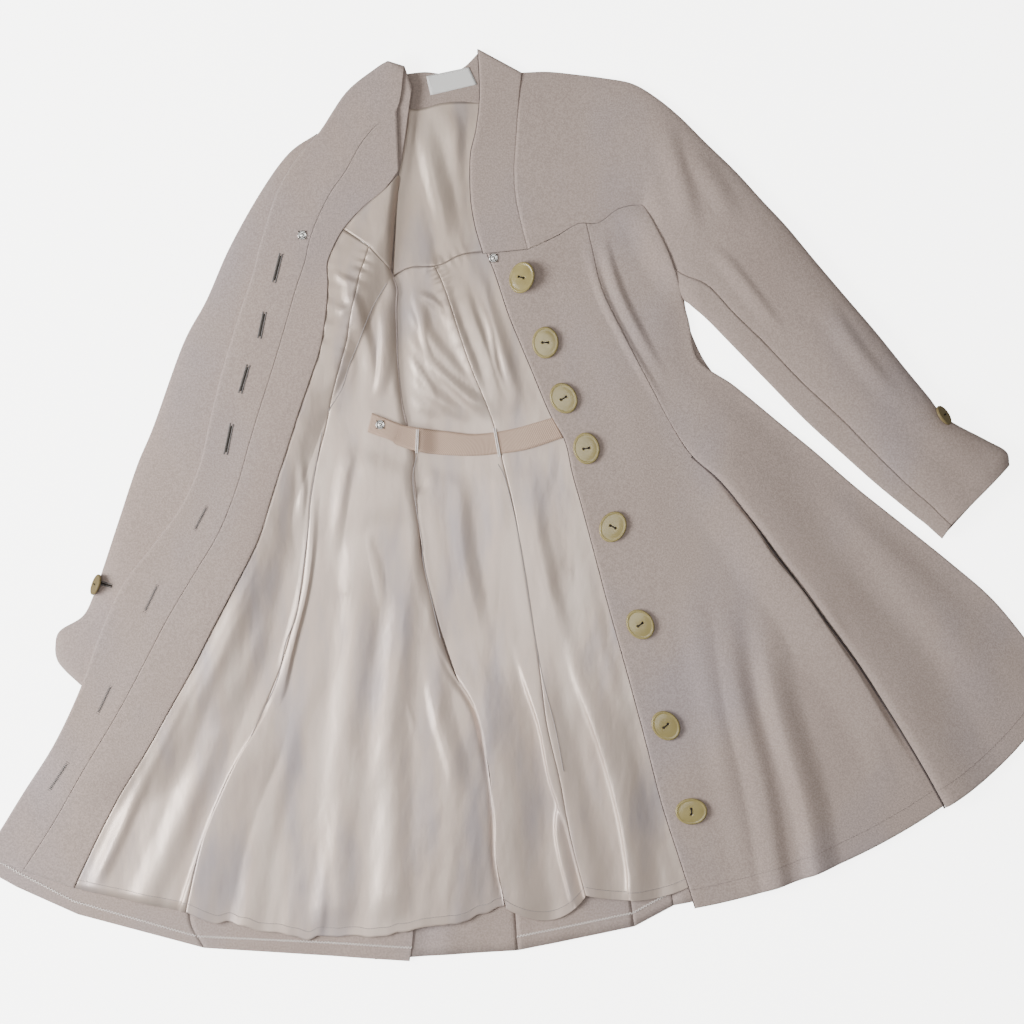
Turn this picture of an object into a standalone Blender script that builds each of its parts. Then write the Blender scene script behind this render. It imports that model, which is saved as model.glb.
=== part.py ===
"""A lined A-line coat lying open on its back: left front closed over the back, right front turned out.

Lengths are in millimetres and become metres when a mesh is made. +X is the viewer's right, +Y the
collar, +Z up, and the floor is z = 0. Every cloth piece is an outer surface with its wall inward.
"""
import math

import bmesh
import bpy
import numpy as np
from mathutils import Matrix, Vector

# Driving sizes
MM = 0.001
WOOL = 2.0
SATIN = 1.0
RIBBON = 0.8
RIBBON_CLEAR = 0.4     # the ribbon lies this much looser than the lining under it, twice that over the roll
GAP = 0.3
SEAM = 0.25            # each wool edge stops this short of its seam line
SOFT_SEAM = 0.6        # and each lining edge, whose folds may be steep there
LINING_Z = WOOL + GAP + SATIN
LEFT_Z = 7.0           # outer face of the left front where it lies flat
PLEAT_RISE = 9.0       # the left side front stands this far over the front at its pleat
PLEAT_LAP = 9.0        # and covers it this far, in x and in y
SLEEVE_RIGHT = 12.5    # height of the right sleeve, pressed by the front on it
BUTTON_LONG, BUTTON_SHORT, BUTTON_THICK = 35.0, 29.0, 5.0
CUFF_LONG, CUFF_SHORT, CUFF_THICK = 24.0, 20.0, 4.5
SNAP_WIDE, SNAP_THICK = 10.0, 2.0

# Right front, inside up: a row crosses it from the free edge to the roll at its side.
# free edge, facing seam, facing's inner edge, princess seam, roll edge (each x, y)
RIGHT_ROWS = (
    ((-240, 383), (-188, 366), (-191, 302), (-163, 283), (-139, 257)),
    ((-257, 357), (-204, 343), (-203, 280), (-168, 267), (-135, 247)),
    ((-268, 333), (-218, 316), (-209, 262), (-173, 253), (-132, 235)),
    ((-276, 307), (-228, 289), (-208, 243), (-177, 234), (-133, 214)),
    ((-284, 280), (-233, 266), (-209, 220), (-183, 209), (-132, 181)),
    ((-291, 252), (-243, 236), (-212, 195), (-187, 181), (-131, 154)),
    ((-301, 222), (-253, 201), (-217, 168), (-195, 152), (-127, 115)),
    ((-314, 181), (-266, 157), (-227, 138), (-204, 118), (-121, 88)),
    ((-326, 140), (-280, 113), (-240, 100), (-211, 84), (-117, 66)),
    ((-337, 94), (-294, 67), (-252, 62), (-221, 45), (-113, 27)),
    ((-350, 40), (-307, 21), (-267, 16), (-228, 6), (-109, -16)),
    ((-373, -8), (-327, -30), (-284, -38), (-232, -44), (-106, -60)),
    ((-405, -51), (-355, -77), (-310, -90), (-239, -96), (-102, -104)),
    ((-434, -89), (-383, -124), (-333, -134), (-250, -140), (-100, -148)),
    ((-458, -142), (-407, -170), (-358, -183), (-263, -184), (-99, -193)),
    ((-480, -203), (-434, -221), (-385, -231), (-281, -228), (-100, -236)),
    ((-509, -264), (-463, -270), (-409, -274), (-298, -267), (-103, -280)),
    ((-541, -312), (-493, -320), (-440, -324), (-321, -316), (-107, -325)),
    ((-570, -359), (-518, -362), (-464, -370), (-342, -368), (-111, -380)),
    ((-588, -386), (-544, -402), (-488, -421), (-361, -448), (-115, -470)),
    ((-594, -396), (-551, -420), (-484, -450), (-345, -487), (-119, -501)),
)
# Where the lining's seam below the roll edge runs, for the rows from the waist down
SIDE_LINING = (
    (-113, 57), (-114, 27), (-109, -22), (-105, -60), (-94, -104), (-84, -146), (-66, -190),
    (-42, -228), (-30, -277), (-23, -319), (-22, -374), (-15, -441),
)
# The band facing and the facing beside it, over the right shoulder: free edge, seam, inner edge
RIGHT_TOP_ROWS = (
    ((-130, 485), (-125, 457), (-121, 440)),
    ((-156, 478), (-132, 433), (-130, 366)),
    ((-188, 452), (-156, 414), (-146, 345)),
    ((-217, 409), (-173, 393), (-169, 326)),
    ((-240, 383), (-188, 366), (-191, 302)),
)
# The right yoke's lining: facing's inner edge, middle, roll edge
RIGHT_YOKE_LINING = (
    ((-131, 361), (-130, 360), (-129, 359)), ((-146, 345), (-139, 341), (-132, 338)),
    ((-169, 326), (-152, 316), (-135, 309)), ((-191, 302), (-163, 283), (-139, 257)),
)
# Left front below its yoke: free edge, princess seam or pleat line, side edge
LEFT_ROWS = (
    ((-34, 266), (75, 303), (139, 328)),
    ((-25, 249), (81, 280), (150, 308)),
    ((-9, 206), (92, 238), (168, 269)),
    ((14, 151), (115, 189), (187, 205)),
    ((35, 101), (146, 130), (198, 160)),
    ((52, 70), (169, 87), (238, 131)),
    ((60, 35), (191, 54), (288, 90)),
    ((71, -4), (222, 26), (327, 58)),
    ((82, -45), (253, -12), (371, 20)),
    ((99, -109), (293, -66), (420, -19)),
    ((120, -184), (334, -121), (475, -63)),
    ((140, -258), (374, -175), (522, -104)),
    ((158, -328), (412, -234), (563, -154)),
    ((178, -390), (444, -287), (585, -185)),
    ((195, -443), (469, -332), (594, -203)),
)
# The band along the left front: free edge, band seam
BAND_ROWS = (
    ((-44, 501), (4, 475)), ((-42, 450), (0, 432)), ((-46, 412), (-2, 400)), ((-52, 384), (-4, 367)),
    ((-52, 340), (-2, 337)), ((-47, 307), (5, 304)), ((-38, 276), (11, 281)),
)
BAND_COUNT = 12        # rows of the band's sheet
# Left yoke and upper sleeve, from the neck to the cuff: upper outline, lower edge, height, edge height
LEFT_SLEEVE_ROWS = (
    ((5, 475), (12, 281), 7.0, 4.4), ((33, 476), (42, 295), 7.0, 4.4), ((63, 473), (66, 309), 7.2, 4.4),
    ((94, 469), (88, 310), 7.8, 4.6), ((125, 463), (112, 326), 9, 5), ((151, 448), (138, 329), 11, 6),
    ((178, 426), (148, 316), 13, 7), ((206, 398), (157, 296), 15, 8), ((239, 366), (169, 272), 17, 9),
    ((268, 334), (183, 253), 19, 10), ((295, 305), (209, 239), 21, 10.5), ((323, 271), (236, 210), 22, 11),
    ((356, 232), (270, 177), 23, 11.5), ((392, 190), (310, 135), 24, 12), ((425, 149), (354, 94), 24, 12),
    ((449, 120), (389, 58), 24, 12), ((470, 95), (427, 21), 24, 12), ((512, 72), (451, 0), 24, 12),
    ((535, 59), (465, -14), 24, 12), ((539, 44), (474, -22), 23, 11.5),
)
FIRST_UNDER = 9        # the row where the left under sleeve starts
# How far the lower edge of the left sleeve lies past the sleeve seam, for the rows from FIRST_UNDER on
LEFT_UNDER = (
    (3, -26), (2, -16), (3, -16), (4, -21), (5, -26), (5, -36), (5, -37), (6, -31), (-4, -21), (-7, -17),
    (-9, -15),
)
SLEEVE_SPLIT = 1.4     # the sleeve's two walls part by this at the outline
# Section of a sleeve's upper wall: share of its width, share of its rise
SLEEVE_ROUND = ((0, 0), (0.004, 0.35), (0.03, 0.72), (0.1, 0.94), (0.24, 1))
# Right sleeve, under the turned-out front: outer outline, hidden inner edge
RIGHT_SLEEVE_ROWS = (
    ((-221, 408), (-160, 330)), ((-252, 386), (-170, 300)), ((-283, 343), (-180, 262)), ((-317, 282), (-196, 215)),
    ((-342, 225), (-219, 166)), ((-368, 176), (-239, 120)), ((-400, 87), (-268, 40)), ((-418, 44), (-285, 0)),
    ((-438, -16), (-305, -60)), ((-456, -71), (-322, -118)), ((-466, -99), (-332, -140)), ((-478, -122), (-345, -165)),
    ((-503, -138), (-362, -190)), ((-508, -155), (-385, -212)), ((-507, -172), (-408, -226)),
)
# Gores of the back at floor level: seam lines from the yoke to the hem
BACK_SEAMS = (
    ((-188, 216), (-180, 150), (-165, 60), (-145, -20), (-130, -120), (-130, -260), (-140, -380), (-157, -499)),
    ((-62, 274), (-50, 180), (-34, 74), (-30, -20), (-26, -120), (-18, -260), (-8, -380), (0, -489)),
    ((30, 290), (50, 190), (62, 90), (75, -20), (95, -120), (110, -260), (118, -380), (128, -463)),
    ((60, 295), (80, 200), (110, 95), (130, -10), (142, -120), (152, -260), (160, -370), (171, -440)),
    ((180, 240), (192, 185), (225, 133), (315, 55), (395, -12), (465, -75), (545, -150), (586, -205)),
)
YOKE_TOP = (
    (-148, 404), (-126, 426), (-109, 431), (-80, 437), (-48, 439), (4, 452), (60, 462), (120, 452),
    (176, 416), (236, 360),
)
YOKE_CORNER = (-170, 224)      # on the line of the first gore's top edge
YOKE_COLUMNS = (6, 4, 2, 6)    # columns of the yoke over each gore
BACK_NAMES = ("back_right", "back_center", "back_left", "back_left_side")
# Lining of the back: seam lines from the yoke seam to its hem, the last hidden under the left front
LINING_SEAMS = (
    ((-138, 249), (-136, 200), (-130, 120), (-118, 60), (-114, 27), (-109, -22), (-94, -104), (-66, -190),
     (-30, -277), (-22, -374), (-9, -441)),
    ((-91, 261), (-78, 231), (-55, 160), (-29, 96), (-16, 45), (-2, -17), (19, -148), (32, -230),
     (50, -310), (62, -370), (77, -427)),
    ((30, 290), (45, 240), (70, 170), (95, 110), (112, 60), (128, -20), (150, -130), (172, -230),
     (186, -310), (196, -370), (203, -412)),
)
LINING_NAMES = ("lining_back_center", "lining_back_left")

# Waist ribbon and neck label: upper and lower edge
RIBBON_LINE = (
    ((-160, 101), (-165, 80)), ((-135, 91), (-140, 71)), ((-118, 86), (-131, 65)), ((-78, 81), (-101, 57)),
    ((-50, 78), (-58, 54)), ((-26, 80), (-23, 56)), ((0, 85), (10, 61)), ((38, 96), (50, 74)),
)
LABEL_LINE = (((-101, 471), (-96, 450)), ((-54, 481), (-45, 462)))

# Folds raised in the cloth: path, height, half-width on the left and right of the path's direction
LINING_FOLDS = (
    (((-228, 8), (-236, -85), (-260, -190), (-293, -258)), 7, 7, 6),
    (((-293, -258), (-325, -335), (-353, -420), (-368, -449)), 8, 60, 7),
    (((-91, -148), (-70, -188), (-44, -225), (-32, -280), (-22, -374), (-18, -450)), 11, 55, 10),
    (((-14, -120), (8, -188), (31, -246), (40, -300), (62, -385), (77, -430)), 10, 45, 8),
    (((46, -128), (70, -200), (90, -262), (108, -315), (118, -370), (122, -423)), 9, 36, 9),
    (((-100, -150), (-90, -225), (-75, -280), (-64, -330)), 5, 22, 12),
    (((-170, 20), (-174, -60), (-182, -160), (-195, -300), (-200, -440)), 5, 34, 30),
    (((-120, -20), (-128, -120), (-138, -240), (-140, -430)), 5, 30, 28),
    (((-220, -160), (-250, -260), (-280, -350), (-300, -460)), 5, 26, 26),
    (((-126, 180), (-84, 145), (-52, 112), (-32, 92)), 6, 14, 12),
    (((-128, 150), (-96, 122), (-72, 104)), 5, 12, 10),
    (((-86, 250), (-70, 205), (-55, 160)), 5, 10, 14),
    (((-40, 240), (-28, 190), (-14, 140)), 4, 12, 12),
    (((-262, 15), (-300, -75), (-345, -160), (-400, -270), (-458, -400)), 5, 14, 14),
    (((-250, -90), (-310, -200), (-350, -300), (-410, -430)), 5, 24, 22),
)
LEFT_FOLDS = (
    (((262, -92), (280, -210), (312, -320), (328, -412)), 6, 40, 40),
    (((330, 20), (400, -60), (480, -150), (540, -230)), 6, 40, 40),
    (((180, -60), (205, -180), (235, -300), (255, -420)), 4, 36, 36),
    (((152, 432), (168, 360), (190, 300)), 4, 18, 22),
)

COLOURS = {
    "wool": ((0.445, 0.375, 0.350), 0.92), "satin": ((0.560, 0.515, 0.500), 0.42),
    "ribbon": ((0.590, 0.430, 0.370), 0.70), "label": ((0.80, 0.78, 0.74), 0.60),
    "button": ((0.330, 0.300, 0.150), 0.18), "snap": ((0.60, 0.59, 0.56), 0.30),
}
METALS = {"snap": 1.0}


def smoothstep(value):
    value = np.clip(value, 0.0, 1.0)
    return value * value * (3 - 2 * value)


def curve(points, count):
    """Points at even parameters along a Catmull-Rom curve through the given ones."""
    p = np.array(points, float)
    p = np.vstack([2 * p[0] - p[1], p, 2 * p[-1] - p[-2]])
    spans = len(p) - 3
    t = np.linspace(0, spans, count)
    k = np.minimum(t.astype(int), spans - 1)
    f = (t - k)[:, None]
    a, b, c, d = p[k], p[k + 1], p[k + 2], p[k + 3]
    square = (2 * a - 5 * b + 4 * c - d) * f ** 2
    cube = (3 * b - a - 3 * c + d) * f ** 3
    return 0.5 * (2 * b + (c - a) * f + square + cube)


def along(x, y, path):
    """Signed distance from each place to a path, positive on its left, and the share run along it."""
    p = curve(path, 4 * len(path))
    best = np.full(np.shape(x), 1e9)
    side = np.zeros(np.shape(x))
    share = np.zeros(np.shape(x))
    for k in range(len(p) - 1):
        run = p[k + 1] - p[k]
        t = np.clip(((x - p[k][0]) * run[0] + (y - p[k][1]) * run[1]) / run.dot(run), 0, 1)
        dx, dy = x - p[k][0] - t * run[0], y - p[k][1] - t * run[1]
        d = np.hypot(dx, dy)
        near = d < best
        best = np.where(near, d, best)
        side = np.where(near, np.where(run[0] * dy - run[1] * dx > 0, 1.0, -1.0), side)
        share = np.where(near, (k + t) / (len(p) - 1), share)
    return best * side, share


def folds(x, y, table):
    """Height of the tallest fold over each place."""
    rise = np.zeros(np.shape(x))
    for path, height, left, right in table:
        d, share = along(x, y, path)
        width = np.where(d > 0, left, right)
        across = smoothstep(1 - np.abs(d) / width)
        ends = smoothstep(share / 0.25)
        rise = np.maximum(rise, height * across * ends)
    return rise


def edge_line(rows, column):
    return [row[column] for row in rows]


FREE_EDGE_LEFT = edge_line(BAND_ROWS, 0) + edge_line(LEFT_ROWS, 0)[1:]
ROLL_EDGE = [(-125, 457), (-131, 400), (-130, 355), (-133, 310)] + edge_line(RIGHT_ROWS, 4)[1:10]


def right_shell(x, y):
    """Outer height of the right front's shell: up over the sleeve and the back, down to the floor below."""
    sleeve = [((a[0] + b[0]) / 2, (a[1] + b[1]) / 2) for a, b in RIGHT_SLEEVE_ROWS]
    d, _ = along(x, y, [(-150, 470), (-190, 420)] + sleeve[1:])
    over_sleeve = (SLEEVE_RIGHT + GAP) * smoothstep((132 - np.abs(d)) / 58)
    bodice = 5.5 * smoothstep((y + 60) / 70) * smoothstep((x + 330) / 60)
    lap, _ = along(x, y, edge_line(RIGHT_ROWS, 4)[8:])
    over_back = 3.2 * smoothstep(1.6 - np.abs(lap) / 60) * (y < 60)
    return WOOL + np.maximum(np.maximum(over_sleeve, bodice), over_back)


def right_facing(x, y):
    return right_shell(x, y) + GAP + WOOL


def clear_of_ribbon(x, y):
    """Nothing where the waist ribbon presses on the lining, one away from it."""
    d, _ = along(x, y, [((a[0] + b[0]) / 2, (a[1] + b[1]) / 2) for a, b in RIBBON_LINE])
    return smoothstep((np.abs(d) - 22) / 26)


def right_lining(x, y):
    room, _ = along(x, y, edge_line(RIGHT_ROWS, 2))
    calm = smoothstep((np.abs(room) - 4) / 25)
    loose = 1.2 + folds(x, y, LINING_FOLDS) * clear_of_ribbon(x, y)
    return right_shell(x, y) + GAP + SATIN + loose * calm


def back_lining(x, y):
    """Lining of the back: flat beside and under the fronts, folded where it is free."""
    front, _ = along(x, y, FREE_EDGE_LEFT)
    roll, _ = along(x, y, ROLL_EDGE)
    calm = smoothstep((-front - 8) / 24) * smoothstep((np.abs(roll) - 6) / 22)
    under = np.where(front > -8, 0.0, 1.0)
    return LINING_Z + folds(x, y, LINING_FOLDS) * calm * under * clear_of_ribbon(x, y)


def left_front(x, y):
    """Outer height of the left front, down on the back's edge along its side."""
    side, _ = along(x, y, edge_line(LEFT_ROWS, 2)[3:])
    inward = smoothstep((np.abs(side) - 3) / 34)
    free, _ = along(x, y, FREE_EDGE_LEFT)
    calm = smoothstep((np.abs(free) - 45) / 40)
    flat = WOOL + GAP + WOOL + 0.1
    return flat + (LEFT_Z - flat) * inward + folds(x, y, LEFT_FOLDS) * inward * calm


def left_side_front(x, y):
    """The side front: its pleat stands up along the princess line and rolls down to the right."""
    d, share = along(x, y, edge_line(LEFT_ROWS, 1)[4:])
    rise = PLEAT_RISE * smoothstep(share / 0.4) * smoothstep(1.15 - np.abs(d) / 70)
    return left_front(x, y) + rise


def floor_shell(x, y):
    return np.full(np.shape(x), WOOL)


def spread(lines, counts, rows):
    """Grid of places between neighbouring lines: each strip gets its own number of columns."""
    lines = [curve(line, rows) for line in lines]
    columns = [lines[0]]
    for k, count in enumerate(counts):
        for step in range(1, count + 1):
            columns.append(lines[k] + (lines[k + 1] - lines[k]) * (step / count))
    return np.stack(columns, axis=1)


def trim(grid, left=SEAM, right=SEAM, top=SEAM, bottom=SEAM):
    """Draw a grid's four edges back from their seam lines."""
    grid = grid.copy()

    def pull(edge, inner, amount):
        run = inner - edge
        length = np.linalg.norm(run[..., :2], axis=-1, keepdims=True)
        return edge + run / np.maximum(length, 1e-6) * np.minimum(amount, 0.4 * length)

    grid[:, 0] = pull(grid[:, 0], grid[:, 1], left)
    grid[:, -1] = pull(grid[:, -1], grid[:, -2], right)
    grid[0] = pull(grid[0], grid[1], top)
    grid[-1] = pull(grid[-1], grid[-2], bottom)
    return grid


def soft_trim(grid):
    return trim(grid, SOFT_SEAM, SOFT_SEAM, SOFT_SEAM, SOFT_SEAM)


def bowed(grid, depth, rows=3):
    """Push the last rows of a grid outward in the middle, as a hem hangs in a curve."""
    grid = grid.copy()
    share = np.linspace(0, 1, grid.shape[1])
    swell = depth * 4 * share * (1 - share)
    across = grid[-1, -1] - grid[-1, 0]
    out = np.array([across[1], -across[0]]) / np.hypot(*across)
    for k in range(rows):
        grid[-1 - k] += swell[:, None] * out * (1 - k / rows)
    return grid


def meet(grid, seam, moved, rows):
    """Move the top row of a grid onto a seam, in x or in y, and the rows below it part of the way."""
    grid = grid.copy()
    p = np.array(sorted(map(tuple, seam), key=lambda place: place[1 - moved]), float)
    shift = np.interp(grid[0, :, 1 - moved], p[:, 1 - moved], p[:, moved]) - grid[0, :, moved]
    for k in range(rows):
        grid[k, :, moved] += shift * (1 - k / rows)
    return grid


def raised(grid, surface):
    """Give a grid of places the heights of a surface."""
    return np.dstack([grid, surface(grid[..., 0], grid[..., 1])])


def make_material(finish):
    colour, rough = COLOURS[finish]
    made = bpy.data.materials.new(finish)
    made.use_nodes = True
    shader = made.node_tree.nodes["Principled BSDF"]
    shader.inputs["Base Color"].default_value = (*colour, 1)
    shader.inputs["Roughness"].default_value = rough
    shader.inputs["Metallic"].default_value = METALS.get(finish, 0.0)
    return made


def add_object(name, mesh, finish):
    made = bpy.data.objects.new(name, mesh)
    mesh.materials.append(make_material(finish))
    parts.objects.link(made)
    return made


def cloth(name, grid, finish="wool", wall=WOOL):
    """A piece of cloth through a grid of points on its outer face, with its wall on the inner side."""
    rows, columns = grid.shape[:2]
    bm = bmesh.new()
    bmesh.ops.create_grid(bm, x_segments=columns - 1, y_segments=rows - 1, size=1)
    for vert in bm.verts:
        column = round((vert.co.x + 1) / 2 * (columns - 1))
        row = round((1 - vert.co.y) / 2 * (rows - 1))
        vert.co = Vector(grid[row, column]) * MM
    mesh = bpy.data.meshes.new(name)
    bm.to_mesh(mesh)
    bm.free()
    mesh.shade_smooth()
    made = add_object(name, mesh, finish)
    thick = made.modifiers.new("wall", "SOLIDIFY")
    thick.thickness = wall * MM
    thick.offset = -1
    return made


def button(name, place, size, turn, tilt=0.0, lean=0.0):
    """An oval two-hole button: a turned dome, stretched, with its holes cut through."""
    long, short, thick = size
    profile = ((0, 0), (0.75, 0), (1, 0.45), (0.9, 0.9), (0.72, 0.95), (0.36, 0.78), (0, 0.76))
    bm = bmesh.new()
    points = [bm.verts.new((share * long / 2 * MM, 0, height * thick * MM)) for share, height in profile]
    for k in range(len(points) - 1):
        bm.edges.new((points[k], points[k + 1]))
    bmesh.ops.spin(
        bm, geom=bm.verts[:] + bm.edges[:], cent=(0, 0, 0), axis=(0, 0, 1), angle=2 * math.pi, steps=14,
        use_merge=True)
    bmesh.ops.remove_doubles(bm, verts=bm.verts[:], dist=0.00001)
    bmesh.ops.recalc_face_normals(bm, faces=bm.faces[:])
    stand = Matrix.Translation(Vector(place) * MM) @ Matrix.Rotation(math.radians(lean), 4, "Z")
    stand = stand @ Matrix.Rotation(math.radians(tilt), 4, "Y")
    stand = stand @ Matrix.Rotation(math.radians(turn - lean), 4, "Z")
    shape = stand @ Matrix.Scale(short / long, 4, (0, 1, 0))
    bm.transform(shape)
    mesh = bpy.data.meshes.new(name)
    bm.to_mesh(mesh)
    bm.free()
    made = add_object(name, mesh, "button")
    bm = bmesh.new()
    for side in (-1, 1):
        hole = Matrix.Translation((0, side * 0.085 * long * MM, thick / 2 * MM))
        bmesh.ops.create_cone(
            bm, cap_ends=True, segments=8, radius1=0.045 * long * MM, radius2=0.045 * long * MM,
            depth=3 * thick * MM, matrix=stand @ hole)
    cutter_mesh = bpy.data.meshes.new(name + "_holes")
    bm.to_mesh(cutter_mesh)
    bm.free()
    cutter = bpy.data.objects.new(name + "_holes", cutter_mesh)
    cutter.hide_render = True
    cutter.display_type = "WIRE"
    cutters.objects.link(cutter)
    cut = made.modifiers.new("holes", "BOOLEAN")
    cut.operation = "DIFFERENCE"
    cut.object = cutter
    return made


def disc(name, place, wide, thick, finish):
    bm = bmesh.new()
    bmesh.ops.create_cone(
        bm, cap_ends=True, segments=16, radius1=wide / 2 * MM, radius2=wide * 0.36 * MM, depth=thick * MM,
        matrix=Matrix.Translation(Vector(place) * MM + Vector((0, 0, thick / 2 * MM))))
    mesh = bpy.data.meshes.new(name)
    bm.to_mesh(mesh)
    bm.free()
    return add_object(name, mesh, finish)


def top_of(surface, x, y):
    return float(surface(np.array([float(x)]), np.array([float(y)]))[0])


# Back
def make_back():
    rows = 12
    for k, name in enumerate(BACK_NAMES):
        lines = [BACK_SEAMS[k], BACK_SEAMS[k + 1]]
        grid = spread(lines, (6 if k in (0, 3) else 4,), rows)
        if name == "back_left_side":
            grid = bowed(grid, 42)
        cloth(name, raised(trim(grid), floor_shell))
    columns = sum(YOKE_COLUMNS) + 1
    stops = np.cumsum((0,) + YOKE_COLUMNS)
    below = np.array([YOKE_CORNER] + [seam[0] for seam in BACK_SEAMS[1:]], float)
    bottom = np.column_stack([np.interp(np.arange(columns), stops, below[:, k]) for k in range(2)])
    yoke = spread((curve(YOKE_TOP, columns), bottom), (5,), columns)
    cloth("back_yoke", raised(trim(yoke.transpose(1, 0, 2)), floor_shell))


# Right front, turned out
def make_right_front():
    rows = len(RIGHT_ROWS)
    down = [edge_line(RIGHT_ROWS, k) for k in range(5)]
    shell = spread(down[:4], (3, 3, 6), rows)
    cloth("right_front", raised(trim(shell, left=0, bottom=0), right_shell))
    side = spread(down[3:5], (8,), rows)
    cloth("right_side_front", raised(trim(side, right=0, bottom=0), right_shell))
    top = [edge_line(RIGHT_TOP_ROWS, k) for k in range(3)]
    cloth("right_yoke", raised(trim(spread(top, (3, 3), len(top[0])), left=0), right_shell))
    faced = [line[:-1] for line in down]
    band = [top[0][:-1] + faced[0], top[1][:-1] + faced[1]]
    inner = [top[1][:-1] + faced[1], top[2][:-1] + faced[2]]
    cloth("front_band_facing", raised(trim(spread(band, (3,), len(band[0])), left=1), right_facing))
    beside = spread([line[1:] for line in inner], (3,), len(inner[0]) - 1)
    cloth("front_inner_facing", raised(trim(beside), right_facing))
    lining = spread(faced[2:4], (8,), rows - 1)
    cloth("lining_right_front", raised(soft_trim(lining), right_lining), "satin", SATIN)
    side_edge = faced[4][:8] + list(SIDE_LINING)
    wide = bowed(spread((faced[3], side_edge), (14,), rows - 1), 31)
    cloth("lining_right_side", raised(soft_trim(wide), right_lining), "satin", SATIN)
    yoke = [edge_line(RIGHT_YOKE_LINING, k) for k in range(3)]
    grid = spread(yoke, (2, 2), len(yoke[0]))
    cloth("lining_right_yoke", raised(soft_trim(grid), right_lining), "satin", SATIN)


# Back lining
def make_back_lining():
    for k, name in enumerate(LINING_NAMES):
        grid = bowed(spread(LINING_SEAMS[k:k + 2], (9,), 20), 22 if k == 0 else 14)
        cloth(name, raised(soft_trim(grid), back_lining), "satin", SATIN)
    yoke = spread((
        ((-124, 440), (-110, 434), (-80, 441), (-44, 443), (0, 446), (50, 450)),
        ((-138, 251), (-118, 261), (-88, 263), (-62, 275), (-30, 280), (30, 292)),
    ), (7,), 13)
    yoke = trim(yoke.transpose(1, 0, 2), SOFT_SEAM, SOFT_SEAM, SEAM, SOFT_SEAM)
    cloth("lining_back_yoke", raised(yoke, back_lining), "satin", SATIN)
    collar = spread((
        ((-117, 480), (-102, 477), (-79, 474), (-60, 481), (-48, 496)),
        ((-118, 441), (-109, 435), (-80, 442), (-60, 443), (-48, 443)),
    ), (4,), 9)
    cloth("collar_back", raised(trim(collar.transpose(1, 0, 2)), lambda x, y: x * 0 + LINING_Z), "wool", LINING_Z)


# Left front, closed over the back
def make_left_front():
    rows = 22
    down = [edge_line(LEFT_ROWS, k) for k in range(3)]
    lap = PLEAT_LAP * smoothstep((np.arange(len(LEFT_ROWS)) - 6.5) / 2)
    under = [(x + more, y + more) for (x, y), more in zip(down[1], lap)]
    seam = [(x, y - GAP) for x, y in [BAND_ROWS[-1][0]] + [row[1] for row in LEFT_SLEEVE_ROWS[:6]]]
    centre = meet(bowed(spread((down[0], under), (8,), rows), 17), seam, 1, 3)
    cloth("left_front", raised(trim(centre, left=0, top=2 * SEAM, bottom=0), left_front))
    side = meet(bowed(spread(down[1:], (9,), rows), 12), seam, 1, 3)
    cloth("left_side_front", raised(trim(side, right=0, bottom=0), left_side_front))
    band = spread([edge_line(BAND_ROWS, k) for k in range(2)], (3,), BAND_COUNT)
    cloth("collar_band_left", raised(trim(band, left=0, top=0), lambda x, y: x * 0 + LEFT_Z))


def sleeve_wall(lines, height, edge, last):
    """The upper wall of a sleeve: straight up at its outline, flat on top, rounded down to its seam."""
    grid = []
    for share, rise in SLEEVE_ROUND:
        grid.append(np.column_stack([lines[0] + (lines[1] - lines[0]) * share, edge + (height - edge) * rise]))
    for share, rise in reversed(SLEEVE_ROUND):
        grid.append(np.column_stack([lines[1] + (lines[0] - lines[1]) * share, last + (height - last) * rise]))
    return np.stack(grid, axis=1)


def under_wall(outline, seam, lower, height, edge, last):
    """The under side of a sleeve: from its seam over the lower edge, flat on the floor, up at the outline."""
    low = edge - SLEEVE_SPLIT
    section = (
        (seam, last), (lower * 0.62 + seam * 0.38, last * 0.88), (lower, height * 0.5),
        (lower * 0.97 + outline * 0.03, height * 0.16), (lower * 0.9 + outline * 0.1, height * 0),
        (lower * 0.5 + outline * 0.5, height * 0), (lower * 0.1 + outline * 0.9, height * 0),
        (lower * 0.03 + outline * 0.97, low * 0.2), (lower * 0.004 + outline * 0.996, low * 0.65), (outline, low),
    )
    return np.stack([np.column_stack([place, z]) for place, z in section], axis=1)


# Left sleeve, filled out, with its yoke
def make_left_sleeve():
    table = np.array([(*a, *b, h, e) for a, b, h, e in LEFT_SLEEVE_ROWS])
    rows = curve(table, len(table))
    height, edge = rows[:, 4], rows[:, 5]
    seam_rise = np.interp(np.arange(len(rows)), (4, FIRST_UNDER, FIRST_UNDER + 3), (1, 0.9, 0.75))
    last = height * seam_rise
    last[:5] = LEFT_Z
    top = sleeve_wall((rows[:, :2], rows[:, 2:4]), height, edge, last)
    top = meet(top, curve(edge_line(BAND_ROWS, 1), BAND_COUNT), 0, 2)
    cloth("left_yoke_sleeve", trim(top, bottom=0)[:, ::-1])
    part = rows[FIRST_UNDER:]
    reach = curve(LEFT_UNDER, len(part))
    lower = part[:, 2:4] + reach
    under = under_wall(part[:, :2], part[:, 2:4], lower, part[:, 4], part[:, 5], last[FIRST_UNDER:])
    cloth("left_under_sleeve", trim(under, bottom=0)[:, ::-1])


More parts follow.
